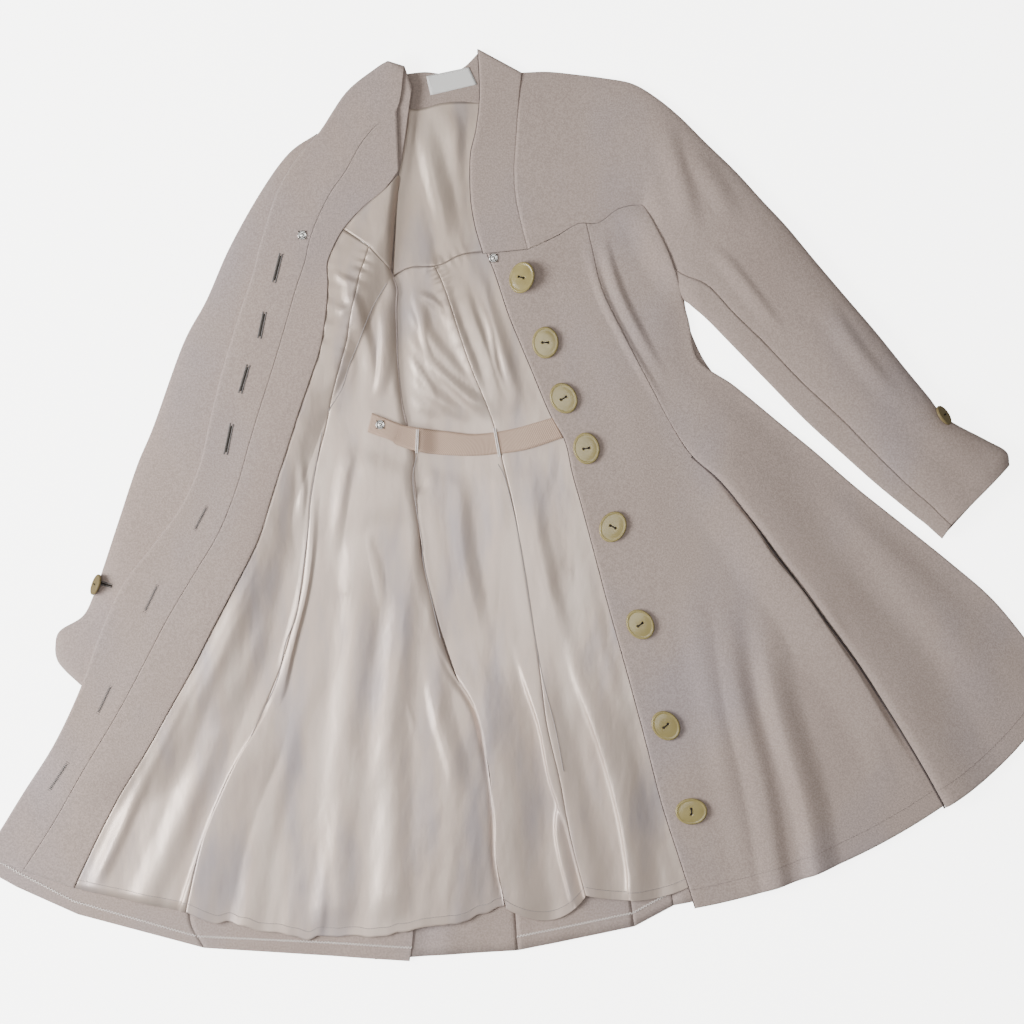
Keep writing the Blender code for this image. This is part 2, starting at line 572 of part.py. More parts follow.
# Right sleeve, pressed flat under the turned-out front
def make_right_sleeve():
    table = np.array([(*a, *b) for a, b in RIGHT_SLEEVE_ROWS], float)
    rows = curve(table, len(table))
    count = len(rows)
    grow = smoothstep(np.linspace(0.4, 3, count))
    height = 8 + (SLEEVE_RIGHT - 8) * grow
    edge = height / 2
    outline, inner = rows[:, :2], rows[:, 2:4]
    top = sleeve_wall((outline, inner), height, edge, edge)
    cloth("right_upper_sleeve", trim(top, left=0, right=0, bottom=0))
    low = edge - SLEEVE_SPLIT
    half = ((0, 1), (0.004, 0.65), (0.03, 0.2), (0.1, 0))
    section = [(outline + (inner - outline) * share, low * rise) for share, rise in half]
    section += [(inner + (outline - inner) * share, low * rise) for share, rise in reversed(half)]
    under = np.stack([np.column_stack([place, z]) for place, z in section], axis=1)
    cloth("right_under_sleeve", trim(under, left=0, right=0, bottom=0)[:, ::-1])


# Waist ribbon and label
def ribbon_height(x, y):
    roll = smoothstep((-86 - x) / 24)
    lining = right_lining(np.minimum(x, -121), y)
    flat = LINING_Z + GAP + RIBBON + RIBBON_CLEAR
    return (1 - roll) * flat + roll * (lining + GAP + RIBBON + 2 * RIBBON_CLEAR)


def make_trim():
    band = spread([edge_line(RIBBON_LINE, k) for k in range(2)], (3,), 28)
    cloth("waist_ribbon", raised(band.transpose(1, 0, 2), ribbon_height), "ribbon", RIBBON)
    patch = spread([edge_line(LABEL_LINE, k) for k in range(2)], (2,), 4)
    cloth("neck_label", raised(patch.transpose(1, 0, 2), lambda x, y: x * 0 + LINING_Z + GAP + 0.5), "label", 0.5)


# Buttons: place, turn of the long axis
FRONT_BUTTONS = (
    ((5, 249), 72), ((30, 178), 90), ((50, 117), 120), ((75, 62), 100),
    ((104, -24), 63), ((134, -131), 127), ((162, -242), 132), ((190, -336), 0),
)


def make_buttons():
    for k, ((x, y), turn) in enumerate(FRONT_BUTTONS, 1):
        high = top_of(left_front, x, y) + GAP + 0.2
        button(f"button_{k}", (x, y, high), (BUTTON_LONG, BUTTON_SHORT, BUTTON_THICK), turn)
    size = (CUFF_LONG, CUFF_SHORT, CUFF_THICK)
    button("cuff_button_left", (466, 103, 17), size, 140, 62, 58)
    button("cuff_button_right", (-460.8, -88, 10.5), size, 68, 62, 160)
    disc("snap_left_front", (-27, 271, LEFT_Z + GAP), SNAP_WIDE, SNAP_THICK, "snap")
    high = top_of(right_facing, -236, 295) + GAP + 0.3
    disc("snap_right_facing", (-236, 295, high), SNAP_WIDE, SNAP_THICK, "snap")
    high = top_of(ribbon_height, -151, 88) + GAP
    disc("snap_ribbon", (-151, 88, high + 0.2), SNAP_WIDE, SNAP_THICK, "snap")


for old in list(bpy.data.objects):
    bpy.data.objects.remove(old, do_unlink=True)
parts = bpy.data.collections.new("a_line_coat")
cutters = bpy.data.collections.new("cutters")
bpy.context.scene.collection.children.link(parts)
bpy.context.scene.collection.children.link(cutters)
make_back()
make_right_sleeve()
make_right_front()
make_back_lining()
make_left_sleeve()
make_left_front()
make_trim()
make_buttons()
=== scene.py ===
import math

import bmesh
import bpy
import numpy as np
from mathutils import Matrix, Vector


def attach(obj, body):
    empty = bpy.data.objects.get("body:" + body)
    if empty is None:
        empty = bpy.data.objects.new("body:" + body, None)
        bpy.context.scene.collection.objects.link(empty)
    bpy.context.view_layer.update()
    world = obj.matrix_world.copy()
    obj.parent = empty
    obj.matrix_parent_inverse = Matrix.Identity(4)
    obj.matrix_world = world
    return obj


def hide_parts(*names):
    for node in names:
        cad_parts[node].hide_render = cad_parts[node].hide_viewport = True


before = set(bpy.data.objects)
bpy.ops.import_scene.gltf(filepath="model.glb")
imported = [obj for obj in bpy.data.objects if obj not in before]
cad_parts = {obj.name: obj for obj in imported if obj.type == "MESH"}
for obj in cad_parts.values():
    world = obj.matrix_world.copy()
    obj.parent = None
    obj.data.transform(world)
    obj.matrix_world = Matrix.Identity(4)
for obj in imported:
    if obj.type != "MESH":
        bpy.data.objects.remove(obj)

# Lengths are in millimetres and become metres when a mesh is made. +X is the viewer's right, +Y the
# collar, +Z up off the floor. Every sheet is an outer face on its solid's form, with its wall inward.
MM = 0.001
WOOL, SATIN, RIBBON, GAP = 2.0, 1.0, 0.8, 0.3
LINING_Z = WOOL + GAP + SATIN
LEFT_Z = 7.0
PLEAT_RISE, PLEAT_LAP = 9.0, 9.0
SLEEVE_RIGHT = 12.5
SEAM = 0.07            # sheets stop this short of their seam lines
BACK_OVERLAP = 0.3     # the back panels reach this far past theirs
SLEEVE_REACH, SLEEVE_FADE = 132, 58      # how far the right front lies raised over its sleeve's middle
BODICE_EASE = 5.5      # height of the turned-out bodice off the floor
BACK_LAP = 3.2         # rise of the roll edge over the back
RIBBON_PRESS = 22      # the lining lies still this far from the ribbon's middle
ARM_RISE = ((205, 253, 272, 296, 316, 328), (0, 8.5, 8, 6.5, 3.5, 0))    # at y, height under the arm
LIGHTS = (
    ("window", (-1.95, -0.2, 1.35), (1.4, 1.0), 94), ("ceiling", (-0.3, 0.2, 3.7), (1.5, 1.5), 40),
)
WALLS = {"wool": 1.7, "satin": 0.7, "ribbon": 0.7, "label": 0.4}
FOLD_FADE = 0.42       # share of its length over which a fold rises out of the cloth
WALL_TURN = 0.42       # share of a sleeve's width over which its wall turns up from an edge
SLEEVE_SPLIT = 1.4     # the two walls of a sleeve are this far apart at its outline
ROWS_A_STEP = 8        # grid rows for each row of the sleeve tables
FRONT_SIZE, CUFF_SIZE = (35.0, 29.0, 5.0), (24.0, 20.0, 4.5)    # buttons: long, short, thick
HOLE_PLACE, HOLE_RADIUS = 0.085, 0.042      # of a button's length
WOOL_HEM, INSIDE_HEM, LINING_HEM = 22, 15, 10                   # from the edge to the stitches
OPEN_BUTTONHOLES = 4   # counted from the collar, the others lie closed
BUTTON_LEVEL = 0.9     # height of the thread holes' upper rim, of a button's thickness
PHOTO_SPAN = 1.1264    # metres across the photo at the floor
PHOTO_MIDDLE = (-0.0066, -0.0077)
CAMERA_HEIGHT = 3.0
SENSOR = 36
FLOOR_GLOW = 4.9       # keeps the floor white in the picture
finishes = {}          # filled by make_finishes
FACES = {}             # the outer face of every sheet, for the lines that are sewn on it
BARS = []              # dark threads of the buttons and press studs
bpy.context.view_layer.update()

# Right front, inside up, from the free edge to the roll: free edge, facing seam, facing's inner edge,
# princess seam, roll edge
RIGHT_ROWS = (
    ((-240, 383), (-188, 366), (-191, 302), (-163, 283), (-139, 257)),
    ((-257, 357), (-204, 343), (-203, 280), (-168, 267), (-135, 247)),
    ((-268, 333), (-218, 316), (-209, 262), (-173, 253), (-132, 235)),
    ((-276, 307), (-228, 289), (-208, 243), (-177, 234), (-133, 214)),
    ((-284, 280), (-233, 266), (-209, 220), (-183, 209), (-132, 181)),
    ((-291, 252), (-243, 236), (-212, 195), (-187, 181), (-131, 154)),
    ((-301, 222), (-253, 201), (-217, 168), (-195, 152), (-127, 115)),
    ((-314, 181), (-266, 157), (-227, 138), (-204, 118), (-121, 88)),
    ((-326, 140), (-280, 113), (-240, 100), (-211, 84), (-117, 66)),
    ((-337, 94), (-294, 67), (-252, 62), (-221, 45), (-113, 27)),
    ((-350, 40), (-307, 21), (-267, 16), (-228, 6), (-109, -16)),
    ((-373, -8), (-327, -30), (-284, -38), (-232, -44), (-106, -60)),
    ((-405, -51), (-355, -77), (-310, -90), (-239, -96), (-102, -104)),
    ((-434, -89), (-383, -124), (-333, -134), (-250, -140), (-100, -148)),
    ((-458, -142), (-407, -170), (-358, -183), (-263, -184), (-99, -193)),
    ((-480, -203), (-434, -221), (-385, -231), (-281, -228), (-100, -236)),
    ((-509, -264), (-463, -270), (-409, -274), (-298, -267), (-103, -280)),
    ((-541, -312), (-493, -320), (-440, -324), (-321, -316), (-107, -325)),
    ((-570, -359), (-518, -362), (-464, -370), (-342, -368), (-111, -380)),
    ((-588, -386), (-544, -402), (-488, -421), (-361, -448), (-115, -470)),
    ((-594, -396), (-551, -420), (-484, -450), (-345, -487), (-119, -501)),
)
SIDE_LINING = (
    (-113, 57), (-114, 27), (-109, -22), (-105, -60), (-94, -104), (-84, -146), (-66, -190),
    (-42, -228), (-30, -277), (-23, -319), (-22, -374), (-15, -441),
)
# Facings over the right shoulder: free edge, seam, inner edge
RIGHT_TOP_ROWS = (
    ((-143, 486), (-124, 480), (-116, 457)),
    ((-156, 478), (-132, 433), (-130, 366)),
    ((-188, 452), (-156, 414), (-146, 345)),
    ((-217, 409), (-173, 393), (-169, 326)),
    ((-240, 383), (-188, 366), (-191, 302)),
)
RIGHT_YOKE_LINING = (
    ((-131, 361), (-130, 360), (-129, 359)), ((-146, 345), (-139, 341), (-132, 338)),
    ((-169, 326), (-152, 316), (-135, 309)), ((-191, 302), (-163, 283), (-139, 257)),
)
# Left front: free edge, princess seam or pleat line, side edge
LEFT_ROWS = (
    ((-34, 266), (75, 303), (139, 328)),
    ((-25, 249), (81, 280), (150, 308)),
    ((-9, 206), (92, 238), (168, 269)),
    ((14, 151), (115, 189), (187, 205)),
    ((35, 101), (146, 130), (198, 160)),
    ((52, 70), (169, 87), (238, 131)),
    ((60, 35), (191, 54), (288, 90)),
    ((71, -4), (222, 26), (327, 58)),
    ((82, -45), (253, -12), (371, 20)),
    ((99, -109), (293, -66), (420, -19)),
    ((120, -184), (334, -121), (475, -63)),
    ((140, -258), (374, -175), (522, -104)),
    ((158, -328), (412, -234), (563, -154)),
    ((178, -390), (444, -287), (585, -185)),
    ((195, -443), (469, -332), (594, -203)),
)
BAND_ROWS = (
    ((-44, 501), (4, 475)), ((-42, 450), (0, 432)), ((-46, 412), (-2, 400)), ((-52, 384), (-4, 367)),
    ((-52, 340), (-2, 337)), ((-47, 307), (5, 304)), ((-38, 276), (11, 281)),
)
# Left yoke and upper sleeve, neck to cuff: upper outline, lower edge, height, edge height
LEFT_SLEEVE_ROWS = (
    ((5, 475), (12, 281), 7.0, 4.4), ((33, 476), (42, 295), 7.0, 4.4), ((63, 473), (66, 309), 7.2, 4.4),
    ((94, 469), (88, 310), 7.8, 4.6), ((125, 463), (112, 326), 9, 5), ((151, 448), (138, 329), 11, 6),
    ((178, 426), (148, 316), 13, 7), ((206, 398), (157, 296), 15, 8), ((239, 366), (169, 272), 17, 9),
    ((268, 334), (183, 253), 19, 10), ((295, 305), (209, 239), 21, 10.5), ((323, 271), (236, 210), 22, 11),
    ((356, 232), (270, 177), 23, 11.5), ((392, 190), (310, 135), 24, 12), ((425, 149), (354, 94), 24, 12),
    ((449, 120), (389, 58), 24, 12), ((470, 95), (427, 21), 24, 12), ((512, 72), (451, 0), 24, 12),
    ((535, 59), (465, -14), 24, 12), ((539, 44), (474, -22), 23, 11.5),
)
FIRST_UNDER = 9        # the row where the left under sleeve starts
LEFT_UNDER = (
    (7, -31), (4, -41), (4, -40), (4, -42), (5, -42), (4, -40), (5, -36), (6, -31), (-4, -21), (-7, -17),
    (-9, -15),
)
# Right sleeve, under the turned-out front: outer outline, hidden inner edge
RIGHT_SLEEVE_ROWS = (
    ((-221, 408), (-160, 330)), ((-252, 386), (-170, 300)), ((-283, 343), (-180, 262)),
    ((-317, 282), (-196, 215)), ((-342, 225), (-219, 166)), ((-368, 176), (-239, 120)),
    ((-400, 87), (-268, 40)), ((-418, 44), (-285, 0)), ((-438, -16), (-305, -60)),
    ((-456, -71), (-322, -118)), ((-466, -99), (-332, -140)), ((-478, -122), (-345, -165)),
    ((-503, -138), (-362, -190)), ((-508, -155), (-385, -212)), ((-506, -170), (-404, -222)),
    ((-497, -182), (-414, -230)), ((-484, -194), (-432, -233)),
)
BACK_SEAMS = (
    ((-188, 216), (-180, 150), (-165, 60), (-145, -20), (-130, -120), (-130, -260), (-140, -380),
     (-157, -499)),
    ((-62, 274), (-50, 180), (-34, 74), (-30, -20), (-26, -120), (-18, -260), (-8, -380), (0, -489)),
    ((30, 290), (50, 190), (62, 90), (75, -20), (95, -120), (110, -260), (118, -380), (128, -463)),
    ((60, 295), (80, 200), (110, 95), (130, -10), (142, -120), (152, -260), (160, -370), (171, -440)),
    ((180, 240), (192, 185), (225, 133), (315, 55), (395, -12), (465, -75), (545, -150), (586, -205)),
)
YOKE_TOP = (
    (-148, 404), (-126, 426), (-109, 431), (-80, 437), (-48, 439), (4, 452), (60, 462), (120, 452),
    (176, 416), (236, 360),
)
YOKE_CORNER = (-170, 224)
YOKE_COLUMNS = (6, 4, 2, 6)
LINING_SEAMS = (
    ((-138, 249), (-136, 200), (-130, 120), (-118, 60), (-114, 27), (-109, -22), (-94, -104), (-66, -190),
     (-30, -277), (-22, -374), (-9, -441)),
    ((-91, 261), (-78, 231), (-55, 160), (-29, 96), (-16, 45), (-2, -17), (19, -148), (32, -230),
     (50, -310), (62, -370), (77, -427)),
    ((30, 290), (45, 240), (70, 170), (95, 110), (112, 60), (128, -20), (150, -130), (172, -230),
     (186, -310), (196, -370), (203, -412)),
)
RIBBON_LINE = (
    ((-160, 101), (-165, 80)), ((-135, 91), (-140, 71)), ((-118, 86), (-131, 65)), ((-78, 81), (-101, 57)),
    ((-50, 78), (-58, 54)), ((-26, 80), (-23, 56)), ((0, 85), (10, 61)), ((38, 96), (50, 74)),
)
YOKE_SEAM = ((-138, 251), (-118, 261), (-88, 263), (-62, 275), (-30, 280), (30, 292))
LABEL_LINE = (((-101, 471), (-96, 450)), ((-54, 481), (-45, 462)))

# Folds: path, height, half-width on its left and right, lean over its narrower side
LINING_FOLDS = (
    (((-223, 47), (-226, -36), (-234, -95), (-249, -156), (-259, -205), (-268, -240)), 4, 7, 12, 2),
    (((-255, -190), (-275, -228), (-293, -262), (-317, -306), (-341, -366), (-362, -426), (-369, -449)),
     8, 60, 5, 4),
    (((-91, -148), (-69, -183), (-42, -225), (-31, -272), (-22, -340), (-20, -390), (-10, -440)),
     10, 55, 6, 4),
    (((-8, -140), (9, -194), (27, -245), (38, -301), (56, -352), (77, -429)), 8, 40, 6, 3),
    (((46, -128), (63, -189), (86, -248), (100, -290), (114, -345), (123, -400), (124, -424)), 8, 34, 6, 3),
    (((-100, -150), (-90, -225), (-75, -280), (-64, -330)), 4, 22, 12, 0),
    (((-170, 20), (-174, -60), (-182, -160), (-195, -300), (-200, -440)), 4, 30, 26, 0),
    (((-120, -20), (-128, -120), (-138, -240), (-140, -430)), 4, 28, 26, 0),
    (((-185, -20), (-183, -70), (-178, -130)), 1.8, 7, 13, 0),
    (((-170, -8), (-160, -62), (-142, -130)), 2.2, 14, 10, 1),
    (((-216, -120), (-250, -260), (-280, -350), (-300, -460)), 3, 24, 24, 0),
    (((-134, 196), (-86, 147), (-48, 112), (-18, 84)), 5, 15, 10, 2),
    (((-130, 152), (-98, 124), (-62, 96), (-34, 82)), 3, 13, 10, 1),
    (((-116, 246), (-106, 205), (-98, 160), (-84, 120)), 3, 12, 10, 0),
    (((-90, 258), (-72, 205), (-50, 150), (-36, 110)), 3, 11, 14, 0),
    (((-44, 274), (-28, 215), (-12, 150), (0, 100)), 3, 12, 10, 1),
    (((-76, 446), (-64, 400), (-50, 345), (-38, 276)), 4, 12, 20, 2),
    (((-110, 442), (-98, 380), (-84, 320), (-70, 258)), 4, 20, 16, 0),
    (((-128, 120), (-104, 106), (-76, 90)), 3, 10, 9, 1),
    (((-128, 224), (-100, 186), (-66, 146), (-34, 118)), 3, 12, 10, 1),
    (((-68, 262), (-50, 205), (-30, 150), (-16, 96)), 3, 10, 13, 1),
    (((-196, 262), (-180, 225), (-166, 176), (-156, 116)), 3, 11, 14, 0),
    (((-150, 238), (-146, 190), (-150, 140), (-164, 84)), 3.6, 13, 10, 1),
    (((-205, 235), (-216, 180), (-236, 120), (-250, 60)), 4, 9, 9, 0),
    (((-178, 84), (-192, 20), (-203, -70)), 2.4, 11, 14, 0),
    (((-62, 52), (-64, -10), (-54, -90), (-30, -180)), 2.4, 18, 16, 0),
    (((8, 50), (20, -30), (38, -110), (66, -190)), 2.4, 16, 15, 0),
    (((-262, 15), (-300, -75), (-345, -160), (-400, -270), (-458, -400)), 4, 14, 14, 0),
    (((-250, -90), (-310, -200), (-350, -300), (-410, -430)), 4, 24, 22, 0),
    (((-126, 96), (-100, 96), (-72, 86)), 2.6, 7, 6, 0),
    (((-134, 172), (-112, 152), (-88, 116), (-80, 92)), 3, 8, 7, 1),
    (((-46, 232), (-30, 196), (-24, 150), (-2, 108)), 2.6, 8, 7, 0),
    (((-118, 232), (-92, 222), (-66, 196)), 2.4, 8, 7, 0),
    (((-214, 262), (-190, 246), (-160, 240)), 2.4, 8, 8, 0),
    (((-214, 226), (-196, 214), (-172, 214)), 2.4, 7, 7, 0),
    (((-240, 60), (-236, 20), (-240, -30)), 2.2, 7, 9, 0),
    (((-140, -140), (-128, -200), (-110, -270)), 2.2, 9, 12, 0),
    (((-208, -210), (-196, -290), (-204, -360), (-214, -450)), 3, 12, 18, 0),
    (((52, -300), (44, -360), (60, -432)), 4, 18, 6, 2),
)
PLEAT_ROLL = (
    ((196, 52), (214, 26), (235, 0), (256, -28), (275, -59), (307, -97), (340, -145), (374, -193),
     (406, -245), (433, -288), (459, -336)),
    9, 9, 46, 5,
)
LEFT_FOLDS = (
    (((262, -92), (280, -210), (312, -320), (330, -420)), 9, 32, 18, 0),
    (((225, -80), (240, -200), (268, -310), (286, -420)), 6, 20, 28, 0),
    (((330, 20), (400, -60), (480, -150), (540, -230)), 5, 40, 40, 0),
    (((180, -60), (205, -180), (225, -300), (245, -420)), 3, 30, 30, 0),
    (((310, -60), (350, -160), (392, -250), (420, -330)), 4, 22, 30, 0),
    (((92, 304), (97, 277), (108, 240), (124, 205), (146, 165), (170, 125)), 4, 9, 12, 0),
    (((72, 304), (82, 262), (96, 222), (118, 180), (146, 132), (170, 92)), 3, 8, 9, 0),
    PLEAT_ROLL,
)
ARM_LINE = ((139, 328), (148, 316), (157, 296), (169, 272), (183, 253))
LOWEST_LOOSE_END = -380      # a fold that ends above this fades out, and one below it runs to the hem
# Creases over the left yoke and sleeve
SLEEVE_FOLDS = (
    (((148, 440), (170, 385), (186, 330), (196, 290)), 2.6, 16, 22, 0),
    (((200, 292), (232, 262), (268, 216), (300, 176)), 2.4, 10, 16, 0),
    (((180, 400), (215, 350), (240, 300)), 2.0, 18, 18, 0),
    (((72, 460), (90, 400), (94, 340)), 2.0, 24, 20, 0),
    (((330, 232), (372, 168), (420, 110)), 2.0, 12, 20, 0),
)


def smoothstep(value):
    value = np.clip(value, 0.0, 1.0)
    return value * value * (3 - 2 * value)


def curve(points, count):
    """Points at even parameters along a Catmull-Rom curve through the given ones."""
    p = np.array(points, float)
    p = np.concatenate([2 * p[:1] - p[1:2], p, 2 * p[-1:] - p[-2:-1]])
    spans = len(p) - 3
    t = np.linspace(0, spans, count)
    k = np.minimum(t.astype(int), spans - 1)
    f = (t - k).reshape((-1,) + (1,) * (p.ndim - 1))
    a, b, c, d = p[k], p[k + 1], p[k + 2], p[k + 3]
    square = (2 * a - 5 * b + 4 * c - d) * f ** 2
    cube = (3 * b - a - 3 * c + d) * f ** 3
    return 0.5 * (2 * b + (c - a) * f + square + cube)


def nearest(x, y, path):
    """Signed distance to a path, positive on its left, the share run along it, and its left normal."""
    p = curve(path, 5 * len(path))
    best = np.full(np.shape(x), 1e9)
    side, share = np.zeros(np.shape(x)), np.zeros(np.shape(x))
    normal = np.zeros(np.shape(x) + (2,))
    for k in range(len(p) - 1):
        run = p[k + 1] - p[k]
        t = np.clip(((x - p[k][0]) * run[0] + (y - p[k][1]) * run[1]) / run.dot(run), 0, 1)
        dx, dy = x - p[k][0] - t * run[0], y - p[k][1] - t * run[1]
        d = np.hypot(dx, dy)
        near = d < best
        best = np.where(near, d, best)
        side = np.where(near, np.where(run[0] * dy - run[1] * dx > 0, 1.0, -1.0), side)
        share = np.where(near, (k + t) / (len(p) - 1), share)
        normal[near] = np.array([-run[1], run[0]]) / np.hypot(*run)
    return best * side, share, normal


def away(x, y, path):
    return nearest(x, y, path)[0]


def fold_rise(x, y, fold):
    """Height of one fold over each place, as a share of its full height, and its left normal."""
    path, _, left, right, _ = fold
    d, share, normal = nearest(x, y, path)
    width = np.where(d > 0, left, right)
    ends = smoothstep(share / FOLD_FADE)
    if path[-1][1] > LOWEST_LOOSE_END:
        ends = ends * smoothstep((1 - share) / FOLD_FADE)
    return smoothstep(1 - np.abs(d) / width) * ends, normal


def folds(x, y, table):
    rise = np.zeros(np.shape(x))
    for fold in table:
        rise = np.maximum(rise, fold[1] * fold_rise(x, y, fold)[0])
    return rise


def leaned(grid, table):
    """Push the tops of leaning folds over their narrower side."""
    grid = grid.copy()
    x, y = grid[..., 0].copy(), grid[..., 1].copy()
    for fold in table:
        if fold[4]:
            rise, normal = fold_rise(x, y, fold)
            toward = 1 if fold[2] < fold[3] else -1
            grid[..., :2] += normal * (toward * fold[4] * rise ** 2)[..., None]
    return grid


def cloud(u, v, seed):
    """Smooth uneven values between -1 and 1, changing about once for each step of u and v."""
    table = np.random.default_rng(seed).uniform(-1, 1, (61, 61))
    i, j = np.floor(u).astype(int), np.floor(v).astype(int)
    f, g = smoothstep(u - i), smoothstep(v - j)
    low = table[i % 61, j % 61] * (1 - f) + table[(i + 1) % 61, j % 61] * f
    high = table[i % 61, (j + 1) % 61] * (1 - f) + table[(i + 1) % 61, (j + 1) % 61] * f
    return low * (1 - g) + high * g


def streaks(x, y, lean, across, length, seed):
    """Uneven long waves that run down the cloth, leaning lean degrees from straight down."""
    c, s = math.cos(math.radians(lean)), math.sin(math.radians(lean))
    u, v = x * c + y * s, y * c - x * s
    return cloud(u / across + 7, v / length + 7, seed)


def puckers(x, y, path, every, reach, seed):
    """Short waves across a seam, such as its stitches draw the cloth into."""
    d, share, _ = nearest(x, y, path)
    p = np.array(path, float)
    s = share * np.hypot(*np.diff(p, axis=0).T).sum()
    wave = 0.5 + 0.5 * np.sin(2 * np.pi * s / every + 2.5 * cloud(s / (2.3 * every), d * 0, seed))
    return wave * np.exp(-(d / reach) ** 2) * (0.6 + 0.4 * cloud(s / (3.1 * every), d * 0, seed + 1))


def line_of(rows, column):
    return [row[column] for row in rows]


def lines_of(rows):
    return [list(line) for line in zip(*rows)]


def middles(pairs):
    return [((a[0] + b[0]) / 2, (a[1] + b[1]) / 2) for a, b in pairs]


FREE_EDGE_LEFT = line_of(BAND_ROWS, 0) + line_of(LEFT_ROWS, 0)[1:]
ROLL_EDGE = [(-125, 457), (-131, 400), (-130, 355), (-133, 310)] + line_of(RIGHT_ROWS, 4)[1:10]
RIBBON_MIDDLE, SLEEVE_MIDDLE = middles(RIBBON_LINE), middles(RIGHT_SLEEVE_ROWS)


def right_shell(x, y):
    """Outer height of the right front's shell: over the sleeve and the back, down to the floor below."""
    d = away(x, y, [(-150, 470), (-190, 420)] + SLEEVE_MIDDLE[1:])
    over_sleeve = (SLEEVE_RIGHT + GAP) * smoothstep((SLEEVE_REACH - np.abs(d)) / SLEEVE_FADE)
    bodice = BODICE_EASE * smoothstep((y + 60) / 70) * smoothstep((x + 330) / 60)
    lap = away(x, y, line_of(RIGHT_ROWS, 4)[8:])
    over_back = BACK_LAP * smoothstep(1.6 - np.abs(lap) / 60) * (y < 60)
    return WOOL + np.maximum(np.maximum(over_sleeve, bodice), over_back)


def right_facing(x, y):
    ease = 0.7 + 0.7 * streaks(x, y, -28, 34, 130, 11)
    return right_shell(x, y) + GAP + WOOL + ease


def clear_of_ribbon(x, y):
    return smoothstep((np.abs(away(x, y, RIBBON_MIDDLE)) - RIBBON_PRESS) / 26)


def satin_waves(x, y, lean, seed):
    fine = 0.25 * streaks(x, y, lean, 10, 60, seed) + 0.9 * streaks(x, y, lean, 24, 150, seed + 1)
    return 2.0 + fine + 1.4 * streaks(x, y, lean + 4, 50, 260, seed + 2)


def right_lining(x, y):
    calm = smoothstep((np.abs(away(x, y, line_of(RIGHT_ROWS, 2))) - 3) / 20)
    loose = folds(x, y, LINING_FOLDS) * clear_of_ribbon(x, y)
    loose = loose + satin_waves(x, y, -12, 21) * (0.4 + 0.6 * clear_of_ribbon(x, y))
    drawn = 2.0 * puckers(x, y, line_of(RIGHT_ROWS, 3)[:10], 17, 9, 31)
    drawn += 1.6 * puckers(x, y, line_of(RIGHT_ROWS, 2)[:12], 26, 10, 33)
    return right_shell(x, y) + GAP + SATIN + loose * calm + drawn * clear_of_ribbon(x, y)


def back_lining(x, y):
    """Lining of the back: flat beside and under the fronts, folded where it is free."""
    front = away(x, y, FREE_EDGE_LEFT)
    calm = smoothstep((-front - 4) / 20) * smoothstep((np.abs(away(x, y, ROLL_EDGE)) - 5) / 16)
    under = np.where(front > -4, 0.0, 1.0)
    loose = folds(x, y, LINING_FOLDS) + 0.8 * satin_waves(x, y, 10, 41)
    loose = loose + 2.2 * puckers(x, y, LINING_SEAMS[1][:5], 15, 10, 51) + puckers(x, y, YOKE_SEAM, 12, 8, 53)
    return LINING_Z + loose * calm * under * clear_of_ribbon(x, y)


def left_front(x, y):
    """Outer height of the left front, down on the back's edge along its side."""
    inward = smoothstep((np.abs(away(x, y, line_of(LEFT_ROWS, 2)[3:])) - 3) / 34)
    calm = smoothstep((np.abs(away(x, y, FREE_EDGE_LEFT)) - 45) / 40)
    flat = WOOL + GAP + WOOL + 0.1
    ease = (0.6 + 0.6 * streaks(x, y, 14, 45, 170, 61)) * smoothstep((270 - y) / 90)
    return flat + (LEFT_Z - flat) * inward + (folds(x, y, LEFT_FOLDS) * inward + ease) * calm


def left_side_front(x, y):
    d, share, _ = nearest(x, y, line_of(LEFT_ROWS, 1)[4:])
    rise = PLEAT_RISE * smoothstep(share / 0.4) * smoothstep(1.15 - np.abs(d) / 70)
    arm = np.interp(y, *ARM_RISE)
    return left_front(x, y) + rise + arm * smoothstep(1 - np.abs(away(x, y, ARM_LINE)) / 36)


def flat_at(height):
    return lambda x, y: np.full(np.shape(x), float(height))


def spread(lines, counts, fine=4):
    """Places between neighbouring lines, with a number of columns for each strip."""
    rows = (len(lines[0]) - 1) * fine + 1
    lines = [curve(line, rows) for line in lines]
    columns = [lines[0]]
    for k, count in enumerate(counts):
        columns += [lines[k] + (lines[k + 1] - lines[k]) * (step / count) for step in range(1, count + 1)]
    return np.stack(columns, axis=1)


def from_side(grid, side):
    """A view of a grid with one side as its first line."""
    turned = grid.swapaxes(0, 1) if side in ("left", "right") else grid
    return turned[::-1] if side in ("right", "bottom") else turned


def back_again(grid, side):
    turned = grid[::-1] if side in ("right", "bottom") else grid
    return turned.swapaxes(0, 1) if side in ("left", "right") else turned


def close_lines(grid, sides, steps=(0.5, 1.3, 2.4)):
    """Add lines of places near some sides, so that those edges can be rounded."""
    for side in sides.split():
        seen = from_side(grid, side)
        run = seen[1] - seen[0]
        length = np.maximum(np.linalg.norm(run, axis=-1, keepdims=True), 1e-6)
        close = []
        for k, step in enumerate(steps, 1):
            close.append(seen[0] + run * np.minimum(step / length, k / (len(steps) + 1)))
        grid = back_again(np.concatenate([seen[:1], np.stack(close), seen[1:]]), side)
    return grid


def rounded(grid, sides, radius, drop):
    """Turn some edges of a raised grid down in a quarter round."""
    grid = grid.copy()
    for side in sides.split():
        seen = from_side(grid, side)
        steps = np.linalg.norm(np.diff(seen[..., :2], axis=0, prepend=seen[:1, :, :2]), axis=-1)
        inside = np.clip(1 - np.cumsum(steps, axis=0) / radius, 0, 1)
        seen[..., 2] -= drop * (1 - np.sqrt(1 - inside ** 2))
    return grid


